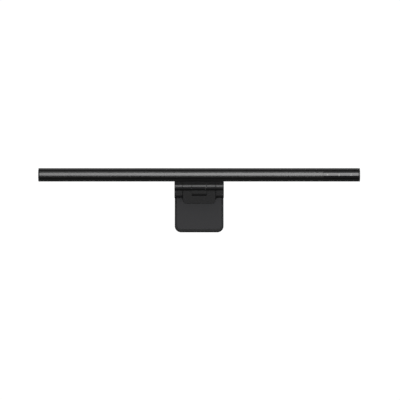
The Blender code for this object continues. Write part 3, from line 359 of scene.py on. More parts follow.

# %% [markdown]
# The moulded parts are ABS. Its shine comes from the mould: a spark-eroded mould leaves a fine
# matt grain of about 0.25 mm, and a polished one leaves a satin skin. The knuckles are the satin
# one, because they turn against each other, and the faces round them are the matt one. The clip's
# shelf and lip take a darker copy of the matt one with a coarser grain; its darker colour is painted shade.

# %% Moulded plastics
MATT_ABS = finish_recipe("black ABS, fine spark grain", "#0e0e0f", "#131314", 0.28 * MM,
                         (0.52, 0.62), 0.012 * MM, 30 * MM, {"Specular IOR Level": 0.12})
SATIN_ABS = finish_recipe("black ABS, satin mould", "#0b0b0c", "#111112", 0.6 * MM,
                          (0.36, 0.44), 0.004 * MM, 25 * MM, {"Specular IOR Level": 0.5})
# a darker copy of the matt black ABS: its lower colour is painted shade on the clip's shelf and lip
SHADED_CLIP_ABS = finish_recipe("black ABS, coarse spark grain", "#090909", "#0d0d0e", 0.4 * MM,
                         (0.48, 0.56), 0.012 * MM, 30 * MM, {"Specular IOR Level": 0.085})
CAP_ABS = finish_recipe("black ABS end cap, satin", "#0d0d0e", "#141415", 0.5 * MM,
                        (0.33, 0.42), 0.005 * MM, 12 * MM, {"Specular IOR Level": 0.4})
GLOSS_ACRYLIC = finish_recipe("gloss black acrylic", "#050506", "#09090a", 3.0 * MM,
                              (0.04, 0.09), 0.0015 * MM, 12 * MM, {"IOR": 1.49})
ICON_INK = finish_recipe("pale grey screen ink", "#727372", "#808180", 0.2 * MM,
                         (0.45, 0.6), 0.003 * MM, 4 * MM)
OPAL = finish_recipe("opal polycarbonate, frosted", "#e9e8e2", "#f4f3ee", 0.3 * MM,
                     (0.42, 0.55), 0.006 * MM, 40 * MM,
                     {"Subsurface Weight": 0.35, "Subsurface Scale": 0.0015, "IOR": 1.58})
NYLON = finish_recipe("graphite-filled nylon", "#1a1a1b", "#242425", 0.35 * MM,
                      (0.5, 0.6), 0.006 * MM, 8 * MM, {"Specular IOR Level": 0.1, "IOR": 1.53})

# %% [markdown]
# Silicone is soft and matt, and dust and skin oil leave it slightly cloudy. The metals are nickel
# plate, which is bright with faint polishing swirls, and black oxide, which is dark and oily.

# %% Silicone and plated metals
SILICONE = finish_recipe("black silicone, matt", "#282829", "#2c2c2d", 0.35 * MM,
                         (0.8, 0.9), 0.012 * MM, 20 * MM, {"Specular IOR Level": 0.04, "IOR": 1.41})
NICKEL = finish_recipe("nickel-plated steel", "#a9a7a1", "#c4c2bc", 0.5 * MM,
                       (0.2, 0.32), 0.003 * MM, 10 * MM, {"Metallic": 1.0}, (1 / 5, 1.0, 1.0))
BLACK_OXIDE = finish_recipe("black-oxide steel", "#1f1f20", "#2f2f30", 0.3 * MM,
                            (0.32, 0.45), 0.004 * MM, 6 * MM, {"Metallic": 1.0})
GOLD_FLASH = finish_recipe("gold-flashed contacts", "#c9a04c", "#dcb565", 0.2 * MM,
                           (0.18, 0.28), 0.001 * MM, 3 * MM, {"Metallic": 1.0})

# %% [markdown]
# The boards inside are glass-fibre laminate under solder mask, so the weave of the glass shows
# through as a very faint grid. The reflector is a white film and the flex lead is polyimide, whose
# amber comes from the resin itself.

# %% Finishes inside the lamp
WHITE_MASK = finish_recipe("white solder mask on laminate", "#d9d9d4", "#e9e9e5", 0.5 * MM,
                           (0.35, 0.48), 0.005 * MM, 15 * MM)
GREEN_MASK = finish_recipe("green solder mask on laminate", "#123f22", "#1c5a32", 0.5 * MM,
                           (0.28, 0.42), 0.006 * MM, 15 * MM)
WHITE_FILM = finish_recipe("white reflector film", "#e8e9ea", "#f4f5f5", 0.8 * MM,
                           (0.2, 0.32), 0.002 * MM, 20 * MM)
POLYIMIDE = finish_recipe("amber polyimide film", "#8f5513", "#a9691f", 0.6 * MM,
                          (0.18, 0.3), 0.002 * MM, 8 * MM, {"IOR": 1.7}, (0.3, 1.0, 1.0))
SLOT_FINISH = {
    "black_anodised_tube": ANODISED, "moulded_black_plastic": MATT_ABS,
    "gloss_black_cover": GLOSS_ACRYLIC, "opal_diffuser": OPAL, "black_silicone": SILICONE,
    "carrier_aluminium": MILL, "plated_steel": NICKEL, "black_steel": BLACK_OXIDE,
    "white_board": WHITE_MASK, "white_reflector": WHITE_FILM, "green_board": GREEN_MASK,
    "amber_film": POLYIMIDE, "graphite_nylon": NYLON,
}
for subpart in frame["record"]["subparts"]:
    mesh = NODES[subpart["node"]].data
    mesh.materials.clear()
    mesh.materials.append(SLOT_FINISH[subpart["material_slot"]])

# %% [markdown]
# Each new piece gets its finish, rides on the body that it belongs to and, where it stands for a
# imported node, hides that node. One function says all of that, so no piece is left behind.


# %% Putting a new piece into the model
PLASTIC = "moulded_black_plastic"     # the slot name that most new pieces are settled with


def settle(piece, body, slot, finish, *replaced):
    """Give a piece its finish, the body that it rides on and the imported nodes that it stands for."""
    piece.data.materials.clear()
    piece.data.materials.append(finish)
    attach(piece, body)
    if replaced:
        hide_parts(*replaced)
    print(piece.name, "rides on", body, "and has", len(piece.data.polygons), "faces")
    return piece


# %% [markdown]
# The lamp tube is an extrusion: one C-shaped section, open at the bottom for the light, pushed
# through a die and cut to length. So it is drawn as that section carried along X. The window for
# the touch keys and the hole for the power inlet were milled afterwards, and are cut here the
# same way.

# %% Lamp tube
WINDOW, DOWN = 20.0, -76.0   # half the light window and its middle, in degrees
TOUCH = 32.0                 # half the touch window, in degrees
TOUCH_LENGTH = 49.7 * MM
TOUCH_CORNER = 2.4 * MM
LIP_ROUND = 0.25 * MM
GAP = 0.3 * MM
INLET_WIDTH, INLET_HEIGHT, INLET_BORDER = 8.94 * MM, 3.26 * MM, 1.5 * MM
inlet_low, inlet_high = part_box("usb_surround")
INLET_X = (inlet_low.x + inlet_high.x) / 2
BAR = (BAR_Y, BAR_Z)


def tube_section(outer, inner, start, end, steps):
    """A C: an outer arc one way round and an inner arc back. At each lip the two middle corners of
    four are softened, which is points 5 to 14 of the softened curve."""
    out = arc((0, 0), outer, start, end, steps)
    back = arc((0, 0), inner, end, start, steps)
    far_lip = softened(np.array([out[-2], out[-1], back[0], back[1]]), LIP_ROUND)[5:15]
    near_lip = softened(np.array([back[-2], back[-1], out[0], out[1]]), LIP_ROUND)[5:15]
    return np.concatenate([out[1:-1], far_lip, back[1:-1], near_lip])


def touch_window(gap):
    """The touch window from the front: two round corners at its left, open past the tube's end."""
    half = BAR_RADIUS * math.sin(math.radians(TOUCH)) - gap
    left, right = TUBE_END - TOUCH_LENGTH + gap, TUBE_END + (BAR_END - TUBE_END if gap == 0 else -gap)
    corner = TOUCH_CORNER - gap
    points = [arc((left + corner, half - corner), corner, 90, 180, 10),
              arc((left + corner, corner - half), corner, 180, 270, 10),
              np.array([[right, -half], [right, half]])]
    return np.concatenate(points) + (0.0, BAR_Z)


def inlet_shape(extra, corner):
    """A flat oval about the inlet's middle."""
    half_width, half_height = INLET_WIDTH / 2 + extra, INLET_HEIGHT / 2 + extra
    return rounded_box(half_width, -half_height, half_height, corner, 6) + (INLET_X, BAR_Z)


c_section = tube_section(BAR_RADIUS, BAR_RADIUS - WALL, DOWN + WINDOW, DOWN + 360 - WINDOW, 124)
tube = slab("lamp_tube", c_section, -TUBE_END, TUBE_END, about(BAR), 0.2 * MM)
tube = carve(tube, plain("window cutter", touch_window(0.0), BAR_Y - 2 * BAR_RADIUS,
                         BAR_Y - BAR_RADIUS / 2, along_y))
tube = carve(tube, plain("inlet cutter", inlet_shape(INLET_BORDER + GAP, 2 * MM), BAR_Y + BAR_RADIUS / 2,
                         BAR_Y + 2 * BAR_RADIUS, along_y))
settle(tube, "light_bar", "black_anodised_tube", ANODISED, "bar_tube")

# %% [markdown]
# The diffuser is a strip of opal plastic that slides into the tube's window from one end. It could
# be a flat plate, but the real one follows the tube's curve so that no edge catches.

# %% Diffuser
slim = WINDOW - math.degrees(GAP / BAR_RADIUS)
wide = WINDOW + 8.0     # the strip's flanges reach 8 degrees past the window, inside the tube
seat = BAR_RADIUS - WALL - GAP
strip = np.concatenate([arc((0, 0), BAR_RADIUS - 0.3 * MM, DOWN - slim, DOWN + slim, 28),
                        arc((0, 0), seat, DOWN + slim, DOWN + wide, 5),
                        arc((0, 0), seat - 1.4 * MM, DOWN + wide, DOWN - wide, 34),
                        arc((0, 0), seat, DOWN - wide, DOWN - slim, 5)])
diffuser = slab("opal_strip", strip, GAP - TUBE_END, TUBE_END - GAP, about(BAR), 0.15 * MM)
settle(diffuser, "light_bar", "opal_diffuser", OPAL, "diffuser")

# %% [markdown]
# Each end cap is a moulded disc that plugs into the tube, with a rounded rim and a face set a
# little way in. A turned profile gives the rim, the step and the plug in one piece.

# %% End caps
RIM_ROUND, FACE_DEPTH, PLUG = 0.7 * MM, 0.35 * MM, 6.4 * MM
quarter = np.radians(np.linspace(0, 90, 7))
rim = np.stack([BAR_END - RIM_ROUND * (1 - np.sin(quarter)),
                BAR_RADIUS - RIM_ROUND * (1 - np.cos(quarter))], 1)
plug = np.array([[TUBE_END - 0.5 * MM, PLUG - 0.2 * MM], [TUBE_END - 0.5 * MM, PLUG],
                 [TUBE_END + 0.1 * MM, PLUG], [TUBE_END + 0.1 * MM, BAR_RADIUS - 0.15 * MM],
                 [TUBE_END + 0.25 * MM, BAR_RADIUS]])
face = BAR_END - FACE_DEPTH
inset = np.array([[BAR_END, BAR_RADIUS - 1.5 * MM], [BAR_END - 0.08 * MM, BAR_RADIUS - 1.62 * MM],
                  [face, BAR_RADIUS - 1.75 * MM], [face, 0.5 * MM]])
for side, name in SIDES:
    profile = np.concatenate([plug, rim, inset]) * (side, 1)
    cap = turned("lamp_end_" + name, profile, about(BAR), 96)
    settle(cap, "light_bar", PLASTIC, CAP_ABS, "end_cap_" + name)

# %% [markdown]
# The touch cover is a thin curved sheet of gloss acrylic that fills its window, flush with the
# tube. A slice of a cylinder is kept where it lies inside the window's outline, so the rounded
# corners match the hole with an even gap all round.

# %% Touch cover
shell = tube_section(BAR_RADIUS, BAR_RADIUS - WALL, 180 - TOUCH - 4, 180 + TOUCH + 4, 56)
cover = plain("touch_window_cover", shell, TUBE_END - TOUCH_LENGTH - MM, TUBE_END + MM, about(BAR))
cutter = plain("cover cutter", touch_window(GAP * 0.7), BAR_Y - 2 * BAR_RADIUS, BAR_Y, along_y)
cover = carve(cover, cutter, "INTERSECT")
settle(cover, "light_bar", "gloss_black_cover", GLOSS_ACRYLIC, "touch_cover")


# %% [markdown]
# The three key marks are printed on the cover in pale ink: a sun for brightness, a dot between two
# arcs for warm and cool light, and a ring for on and off. Each stroke is a flat outline wrapped on the
# cover by turning its height into an angle, angle = height / radius.

# %% Key marks
def wrapped(x):
    """Wrap an outline on the front of the tube about a place along it."""
    return lambda u, v, t: np.stack([x + u, BAR_Y - (BAR_RADIUS + t) * np.cos(v / BAR_RADIUS),
                                     BAR_Z + (BAR_RADIUS + t) * np.sin(v / BAR_RADIUS)], -1)


def stroke_ring(radius, width, start, end, steps):
    """A ring or a part of one, as a band of a given width."""
    return np.concatenate([arc((0, 0), radius + width / 2, start, end, steps),
                           arc((0, 0), radius - width / 2, end, start, steps)])


def bar_mark(x0, y0, x1, y1, width):
    """A straight stroke between two points with square ends."""
    along = np.array([x1 - x0, y1 - y0])
    across = np.array([-along[1], along[0]]) / np.linalg.norm(along) * width / 2
    a, b = np.array([x0, y0]), np.array([x1, y1])
    return np.stack([a + across, a - across, b - across, b + across])


MARK_X = [TUBE_END - TOUCH_LENGTH + value * MM for value in (5.9, 22.3, 38.9)]
INK, INK_LOW, INK_HIGH = 0.30 * MM, -0.05 * MM, 0.03 * MM
RAY_IN, RAY_OUT = 1.0 * MM, 1.55 * MM
sun = [arc((0, 0), 0.62 * MM, 0, 345, 23)]
sun += [bar_mark(RAY_IN * math.cos(a), RAY_IN * math.sin(a), RAY_OUT * math.cos(a), RAY_OUT * math.sin(a),
                 INK * 0.8) for a in np.radians(np.arange(0, 360, 45))]
warmth = [stroke_ring(1.15 * MM, INK, start, start + 140, 16) for start in (20, 200)]
warmth.append(arc((0, 0), 0.5 * MM, 0, 345, 23))
power = [stroke_ring(1.25 * MM, INK, 122, 418, 30), bar_mark(0, 0.45 * MM, 0, 1.75 * MM, INK)]
for index, strokes in enumerate((sun, warmth, power)):
    for count, outline in enumerate(strokes):
        mark = slab(f"key_mark_{index}_{count}", outline, INK_LOW, INK_HIGH,
                    wrapped(MARK_X[index]), 0.008 * MM, 2)
        settle(mark, "light_bar", "gloss_black_cover", ICON_INK)
print("key marks at", [round(x / MM, 1) for x in MARK_X])


# %% [markdown]
# The neck joins the tube to the hinge. It is one moulding: a saddle that fits the tube, a web with
# a hollow back, and three knuckles that turn with the lamp. The side view is drawn once and carried
# along X; then room is cut for the clip's two knuckles, which turn between the other three.

# %% Neck outline
TILT = (TILT_Y, TILT_Z)
BARREL = 5.4 * MM
RUN = 0.4 * MM
BARREL_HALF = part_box("neck_bracket")[1].x
CLIP_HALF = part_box("lip_pad")[1].x + 3.9 * MM
OUTER_SPLIT = CLIP_HALF + RUN / 2
CENTRE_SPLIT = 10.15 * MM
SADDLE = 3.0 * MM         # how thick the saddle is round the tube
TOE = math.radians(-60)   # where the saddle ends, under the tube's front


def neck_outline():
    """Saddle, hollow back and flat front, about the tilt axis. The hollow is an arc of 30 mm that
    touches the barrel's circle and the saddle's circle; its centre is where two longer arcs meet."""
    bar = np.array([BAR_Y - TILT_Y, BAR_Z - TILT_Z])
    inner, outer, hollow = BAR_RADIUS + GAP, BAR_RADIUS + GAP + SADDLE, 30.0 * MM
    apart = np.hypot(*bar)
    first, second = BARREL + hollow, outer + hollow
    along = (first ** 2 - second ** 2 + apart ** 2) / (2 * apart)
    aside = math.sqrt(first ** 2 - along ** 2)
    unit = bar / apart
    centre = along * unit + aside * np.array([unit[1], -unit[0]])
    to_bar = math.degrees(math.atan2(*(bar - centre)[::-1])) % 360
    to_barrel = math.degrees(math.atan2(*(-centre)[::-1])) % 360
    touch = math.degrees(math.atan2(*(centre - bar)[::-1]))
    lip = BARREL - 2.5 * MM
    toe = bar + (inner + 1.8 * MM) * np.array([math.cos(TOE), math.sin(TOE)])
    return np.concatenate([arc(bar, inner, -60, 45, 36), arc(bar, outer, 45, touch, 10),
                           arc(centre, hollow, to_bar, to_barrel, 20)[1:],
                           [[0.0, 0.0], [-math.sqrt(BARREL ** 2 - lip ** 2), lip], toe]])


# %% [markdown]
# The knuckles are turned profiles, because a mould gives each one its own small edge radius, and
# those edges draw the thin dark seams across the barrel. Each outer one is bored for a round cap
# that hides the end of the pin.

# %% Neck and its three knuckles
clear = arc((0, 0), BARREL + RUN, 0, 360 - 5, 71)
neck = plain("neck_moulding", neck_outline(), -BARREL_HALF + 0.2 * MM, BARREL_HALF - 0.2 * MM, about(TILT))
for side in (-1, 1):
    near, far = side * (CENTRE_SPLIT - RUN / 2), side * (OUTER_SPLIT + RUN / 2)
    neck = carve(neck, plain("clip room", clear, near, far, about(TILT)))
bevelled(neck, 0.35 * MM)
settle(neck, "light_bar", PLASTIC, SATIN_ABS, "neck_bracket")


def knuckle_profile(low, high, radius, bore=0.0, depth=0.0, edge=0.2 * MM):
    """From one end to the other: rounded outer edges and, at the far end, a bore to a depth."""
    turn = np.radians(np.linspace(0, 90, 6))
    near = np.stack([low + edge * (1 - np.sin(turn[::-1])), radius - edge * (1 - np.cos(turn[::-1]))], 1)
    far = np.stack([high - edge * (1 - np.sin(turn)), radius - edge * (1 - np.cos(turn))], 1)
    parts = [np.array([[low, 0.4 * MM]]), near, far]
    if bore:
        parts.append(np.array([[high, bore + 0.15 * MM], [high - 0.15 * MM, bore], [high - depth, bore],
                               [high - depth, 0.4 * MM]]))
    return np.concatenate(parts)


CAP_BORE, CAP_SEAT = 3.9 * MM, 2.0 * MM
middle_knuckle = knuckle_profile(-CENTRE_SPLIT + RUN / 2, CENTRE_SPLIT - RUN / 2, BARREL)
outer_knuckle = knuckle_profile(OUTER_SPLIT + RUN / 2, BARREL_HALF, BARREL, CAP_BORE, CAP_SEAT)
hinge_cap = np.array([[-1.2, 0.4], [-1.2, 3.6], [-0.45, 3.6], [-0.3, 3.5], [-0.25, 3.2], [-0.25, 1.7],
                      [-0.45, 1.4], [-0.45, 0.3]]) * MM + (BARREL_HALF, 0)
pieces = [turned("neck_knuckle_middle", middle_knuckle, about(TILT), 96)]
for side, name in SIDES:
    pieces.append(turned("neck_knuckle_" + name, outer_knuckle * (side, 1), about(TILT), 96))
    cap = turned("hinge_cover_" + name, hinge_cap * (side, 1), about(TILT), 64)
    settle(cap, "light_bar", PLASTIC, CAP_ABS, "tilt_cap_" + name)
for piece in pieces:
    settle(piece, "light_bar", PLASTIC, SATIN_ABS)

# %% [markdown]
# Between the knuckles sit thin discs of graphite-filled nylon. They carry the friction that holds
# the lamp at its angle, and from outside each shows only as a dark line across the barrel.

# %% Friction discs
DISC_BORE, DISC, DISC_EDGE, DISC_SUNK = 1.9 * MM, 4.6 * MM, 0.1 * MM, 0.6 * MM
for side, name in SIDES:
    for place, face, back in (("outer", CLIP_HALF + RUN * 0.9, CLIP_HALF - DISC_SUNK),
                              ("inner", CENTRE_SPLIT - RUN * 0.4, CENTRE_SPLIT + RUN / 2 + DISC_SUNK)):
        low, high = min(face, back), max(face, back)
        ring = np.array([[low, DISC_BORE], [low, DISC - DISC_EDGE], [low + DISC_EDGE, DISC],
                         [high - DISC_EDGE, DISC], [high, DISC - DISC_EDGE], [high, DISC_BORE]])
        disc = turned(f"friction_disc_{place}_{name}", ring * (side, 1), about(TILT), 72)
        replaced = ["friction_disc_" + name] if place == "outer" else []
        settle(disc, "clip", "graphite_nylon", NYLON, *replaced)

# %% [markdown]
# The clip is the part that stays still: a shelf under the barrel, a lip that hangs over the
# monitor's front, two knuckles, and a bridge back to the leg's hinge. It is one moulding. It could
# be one solid, joined and then bevelled, but each stretch has its own section and its own small
# radius, so each is a slab here and neighbours overlap or meet where the moulding is solid.

# %% Clip shelf and lip
SHELF_LOW = 1.3 * MM
SHELF_TOP = TILT_Z - BARREL - RUN
LIP_LOW, LIP_THICK = -6.9 * MM, 2.8 * MM
LIP_TOP = SHELF_TOP - 1.2 * MM
STEP = 1.6 * MM           # the shelf's rise behind the barrel
shelf_front, shelf_back = TILT_Y - 3.0 * MM, TILT_Y + 8.0 * MM
step_front = TILT_Y + math.sqrt((BARREL + RUN) ** 2 - (BARREL + RUN - STEP) ** 2) + GAP
CENTRE_CLIP = CENTRE_SPLIT + RUN / 2


def shelf_outline(corner, low, front):
    """The shelf's side view: a flat front, a round lower corner, and a step up behind the barrel."""
    return np.concatenate([[[step_front, SHELF_TOP], [front + 0.4 * MM, SHELF_TOP]],
                           [[front, SHELF_TOP - 0.4 * MM]],
                           arc((front + corner, low + corner), corner, 180, 270, 14),
                           [[shelf_back, low], [shelf_back, SHELF_TOP + STEP]],
                           [[step_front, SHELF_TOP + STEP]]])


GROOVE, GROOVE_DEPTH = CLIP_HALF + 0.55 * MM, 1.6 * MM
middle = shelf_outline(4.6 * MM, 3.4 * MM, shelf_front)
inner = shelf_outline(3.5 * MM, SHELF_LOW, shelf_front)
groove = shelf_outline(3.5 * MM, SHELF_LOW, shelf_front + GROOVE_DEPTH)
ear = shelf_outline(4.4 * MM, SHELF_LOW, shelf_front)
shelf_parts = [("middle", middle, -CENTRE_CLIP, CENTRE_CLIP)]
for side, name in SIDES:
    shelf_parts += [("inner_" + name, inner, side * CENTRE_CLIP, side * CLIP_HALF),
                    ("groove_" + name, groove, side * CLIP_HALF, side * GROOVE),
                    ("ear_" + name, ear, side * GROOVE, side * BARREL_HALF)]
# the shelf takes the darker copy of black ABS, whose lower colour is painted shade
for name, outline, near, far in shelf_parts:
    shelf = slab("clip_shelf_" + name, outline, near, far, along_x, 0.2 * MM)
    settle(shelf, "clip", PLASTIC, SHADED_CLIP_ABS)
lip_front = TILT_Y - 3.8 * MM
lip_corner, notch = 5.0 * MM, 4.6 * MM
lip_outline = np.concatenate([[[-CLIP_HALF, LIP_TOP]],
                              arc((lip_corner - CLIP_HALF, LIP_LOW + lip_corner), lip_corner, 180, 270, 12),
                              arc((CLIP_HALF - lip_corner, LIP_LOW + lip_corner), lip_corner, 270, 360, 12),
                              [[CLIP_HALF, LIP_TOP], [CENTRE_CLIP, LIP_TOP], [CENTRE_CLIP, notch],
                               [-CENTRE_CLIP, notch], [-CENTRE_CLIP, LIP_TOP]]])
lip = slab("clip_lip", lip_outline, lip_front, lip_front + LIP_THICK, along_y, 0.4 * MM)
# the lip takes the darker copy of black ABS, whose lower colour is painted shade
settle(lip, "clip", PLASTIC, SHADED_CLIP_ABS, "clip_body")

# %% [markdown]
# The bridge runs back over the monitor's edge to two risers that hold the leg's pin. The clip's own
# knuckles turn in the neck, and each is a circle with a foot that stands on the shelf, so it is
# drawn as one keyhole outline and carried along X.

# %% Clip knuckles, bridge and leg knuckles
BRIDGE_TOP = 3.3 * MM
bridge_back = LEG_Y - 4.0 * MM
section = [[SHELF_LOW, -CLIP_HALF], [SHELF_LOW, CLIP_HALF],
           [BRIDGE_TOP, CLIP_HALF], [BRIDGE_TOP, -CLIP_HALF]]
bridge = slab("clip_bridge", section, shelf_back - MM, bridge_back,
              lambda u, v, t: np.stack([v, t, u], -1), 0.3 * MM)
settle(bridge, "clip", PLASTIC, MATT_ABS)
LEG_KNUCKLE = 5.0 * MM
riser_front = -LEG_KNUCKLE - 6.8 * MM     # from the leg's axis
riser = np.concatenate([[[riser_front, BRIDGE_TOP - LEG_Z], [riser_front, SHELF_LOW - LEG_Z]],
                        arc((0, 0), LEG_KNUCKLE, -100, 120, 44)])
foot = SHELF_TOP - TILT_Z - 2 * MM     # the knuckle's foot goes 2 mm into the shelf
keyhole = np.concatenate([arc((0, 0), BARREL, -30, 262, 60), [[2.0 * MM, foot], [4.7 * MM, foot]]])
for side, name in SIDES:
    near, far = side * CENTRE_CLIP, side * CLIP_HALF
    knuckle = slab("clip_knuckle_" + name, keyhole, near, far, about(TILT), 0.4 * MM)
    settle(knuckle, "clip", PLASTIC, SATIN_ABS)
    post = slab("clip_riser_" + name, riser, near, far, about((LEG_Y, LEG_Z)), 0.4 * MM)
    settle(post, "clip", PLASTIC, MATT_ABS)

# %% [markdown]
# The pads are silicone, moulded with fine ribs so that they grip a thin edge. The ribs are in the
# outline itself: a row of shallow scallops along the side that touches the monitor.

# %% Grip pads on the clip
def ribbed(low, high, base, tip, pitch, depth, share=8):
    """A strip from low to high whose face at tip has grooves: depth x (0.5 + 0.5 cos(2 pi s))^4,
    where s counts the pitches along it. The power makes each groove narrower than its rib."""
    count = max(1, round((high - low) / pitch))
    s = np.linspace(0.0, count, count * share + 1)
    along = low + (high - low) * s / count
    groove = depth * (0.5 + 0.5 * np.cos(2 * math.pi * s)) ** 4
    face = tip + np.sign(base - tip) * groove
    return np.concatenate([np.stack([along, face], 1), [[high, base], [low, base]]])


top_low, top_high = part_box("top_pad")
pad = slab("top_grip_pad", ribbed(top_low.y, top_high.y, top_high.z, top_low.z, 1.6 * MM, 0.3 * MM),
           top_low.x, top_high.x, along_x, 0.1 * MM, 2, 50.0)
settle(pad, "clip", "black_silicone", SILICONE, "top_pad")
lip_low, lip_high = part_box("lip_pad")
pad = slab("lip_grip_pad", ribbed(lip_low.z, lip_high.z, lip_low.y, lip_high.y, 1.5 * MM, 0.3 * MM),
           lip_low.x, lip_high.x, lambda u, v, t: np.stack([t, v, u], -1), 0.1 * MM, 2, 50.0)
settle(pad, "clip", "black_silicone", SILICONE, "lip_pad")

# %% [markdown]
# The rear leg is a weighted box: a frame with arms up to its hinge, a steel weight inside, a back
# cover held by four screws, and a silicone face that rests on the back of the monitor. It is drawn
# upright about its own hinge axis and then leaned, so that every size in it is a plain number.

# %% Rear leg frame
LEG_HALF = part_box("leg_frame")[1].x
LEG_LENGTH, LEG_CORNER, LEG_NOTCH = 56.4 * MM, 9.0 * MM, 9.8 * MM
LEG_FRONT, LEG_BACK, LEG_WALL = -4.4 * MM, 3.0 * MM, 2.2 * MM
ARM = OUTER_SPLIT + RUN / 2
SLANT = (1.2 * MM, 2.4 * MM)     # how far the notch's corners are cut, across and up


def leg_outline(inset, arm_top, arm_edge):
    """The leg's face: round lower corners, and a notch at the top between its two arms."""
    half, low, corner = LEG_HALF - inset, inset - LEG_LENGTH, LEG_CORNER - inset
    inner, sill = ARM + arm_edge, -LEG_NOTCH - arm_edge
    run, rise = SLANT
    return np.concatenate([[[-half, -arm_top]], arc((corner - half, low + corner), corner, 180, 270, 20),
                           arc((half - corner, low + corner), corner, 270, 360, 20),
                           [[half, -arm_top], [inner, -arm_top], [inner, sill + rise], [inner - run, sill],
                            [run - inner, sill], [-inner, sill + rise], [-inner, -arm_top]]])


def pocket_outline(gap):
    """The rounded rectangle of the weight's pocket and, with a gap, of the cover that closes it."""
    inset = LEG_WALL + gap
    return rounded_box(LEG_HALF - inset, inset - LEG_LENGTH, -LEG_NOTCH - inset, LEG_CORNER - inset, 14)


leg = slab("leg_shell", leg_outline(0.0, 0.0, 0.0), LEG_FRONT, LEG_BACK, leg_face, 0.35 * MM, 5)
leg = carve(leg, plain("pocket cutter", pocket_outline(0.0), LEG_BACK - LEG_WALL, LEG_BACK + MM, leg_face))
settle(leg, "rear_leg", PLASTIC, MATT_ABS, "leg_frame")
leg_knuckle = knuckle_profile(ARM, LEG_HALF, LEG_KNUCKLE, 3.3 * MM, 1.5 * MM)
pin_cap = np.array([[-1.2, 0.4], [-1.2, 3.0], [-0.3, 3.0], [-0.12, 2.9], [-0.05, 2.6], [0.0, 0.3]]) * MM
for side, name in SIDES:
    knuckle = turned("leg_knuckle_" + name, leg_knuckle * (side, 1), leg_across, 80)
    settle(knuckle, "rear_leg", PLASTIC, MATT_ABS)
    cap = turned("leg_pin_cover_" + name, (pin_cap + (LEG_HALF, 0)) * (side, 1), leg_across, 56)
    settle(cap, "rear_leg", PLASTIC, CAP_ABS, "leg_pin_cap_" + name)

# %% [markdown]
# The pad follows the leg's outline a little way in, so a rim of the frame shows round it. The back
# cover fills the pocket behind the weight, and its four screws sit in round seats.

# %% Leg pad, cover and screws
PAD_RIM, PAD_ARM_TOP, PAD_ARM_EDGE = 2.9 * MM, 6.5 * MM, 0.9 * MM
PAD_PROUD, PAD_SUNK = 0.6 * MM, 0.3 * MM
pad = slab("leg_grip_pad", leg_outline(PAD_RIM, PAD_ARM_TOP, PAD_ARM_EDGE), LEG_FRONT - PAD_PROUD,
           LEG_FRONT + PAD_SUNK, leg_face, 0.35 * MM)
settle(pad, "rear_leg", "black_silicone", SILICONE, "leg_pad")
cover_back = LEG_BACK - 0.2 * MM
cover = slab("leg_back_cover", pocket_outline(GAP), cover_back - 1.8 * MM, cover_back, leg_face, 0.25 * MM)
SCREW_X, SCREW_Z = LEG_HALF - 6.4 * MM, (-15.7 * MM, 5.9 * MM - LEG_LENGTH)
HEAD, HEAD_HEIGHT = 1.9 * MM, 0.9 * MM
head_seat = cover_back - HEAD_HEIGHT - 0.15 * MM
spots = [(side * SCREW_X, z) for side in (-1, 1) for z in SCREW_Z]
for spot in spots:
    seat = arc(spot, HEAD + GAP, 0, 350, 35)
    cover = carve(cover, plain("head seat", seat, head_seat - GAP, cover_back + MM, leg_face))
settle(cover, "rear_leg", PLASTIC, MATT_ABS, "leg_cover")


def screw_head(name, place, shank):
    """A pan head with a domed edge, a cross recess and its shank, about its own axis."""
    turn = np.radians(np.linspace(0, 90, 7))
    dome = np.stack([HEAD_HEIGHT * (0.45 + 0.55 * np.sin(turn)), HEAD - 0.8 * MM * (1 - np.cos(turn))], 1)
    stem = [[-shank, 0.4 * MM], [0.6 * MM - shank, 1.0 * MM], [0, 1.0 * MM], [0, HEAD]]
    screw = turned(name, np.concatenate([stem, dome]), place, 40)
    for w, h in ((1.1 * MM, 0.24 * MM), (0.24 * MM, 1.1 * MM)):
        blade = [[-w, -h], [w, -h], [w, h], [-w, h]]
        screw = carve(screw, plain("recess", blade, HEAD_HEIGHT - 0.5 * MM, HEAD_HEIGHT + MM, place))
    return screw


for index, (x, z) in enumerate(spots, 1):
    screw = screw_head(f"cover_screw_{index}",
                       lambda u, v, t, x=x, z=z: leg_face(u + x, v + z, t + head_seat), 4.0 * MM)
    settle(screw, "rear_leg", "black_steel", BLACK_OXIDE, f"leg_screw_{index}")

# %% [markdown]
# The torsion spring is music wire wound in a close coil on a nylon sleeve. One tail presses on the
# clip and the other goes into the leg. It could be a curve with a bevel, but rings of points keep
# the mesh in one piece with its tails: a circle carried along a helix. The real one is shared between
# the two bodies along X and winds as the leg opens; this mesh rides on no body and keeps its shape.

# %% Torsion spring
COIL, WIRE, COIL_HALF, TURNS = 3.2 * MM, 0.6 * MM, 7.0 * MM, 5.75
TAIL_END, TAIL_START, TAIL_POINTS, LEG_TAIL = 8.0 * MM, 0.5 * MM, 12, 1.3


def wire_along(name, path, axis, radius, sides=14):
    """Rings of radius x (n cos a + b sin a) on a path. The direction n points away from the coil's
    axis and stands square to the path, and b is the path's direction crossed with n."""
    ahead = np.gradient(path, axis=0)
    ahead /= np.linalg.norm(ahead, axis=1, keepdims=True)
    away = path - np.array([0.0, *axis])
    away[:, 0] = 0.0
    away -= (away * ahead).sum(1, keepdims=True) * ahead
    away /= np.linalg.norm(away, axis=1, keepdims=True)
    other = np.cross(ahead, away)
    angle = np.linspace(0, 2 * math.pi, sides, endpoint=False)[None, :, None]
    rings = path[:, None] + radius * (away[:, None] * np.cos(angle) + other[:, None] * np.sin(angle))
    return piece_from_rings(name, rings)


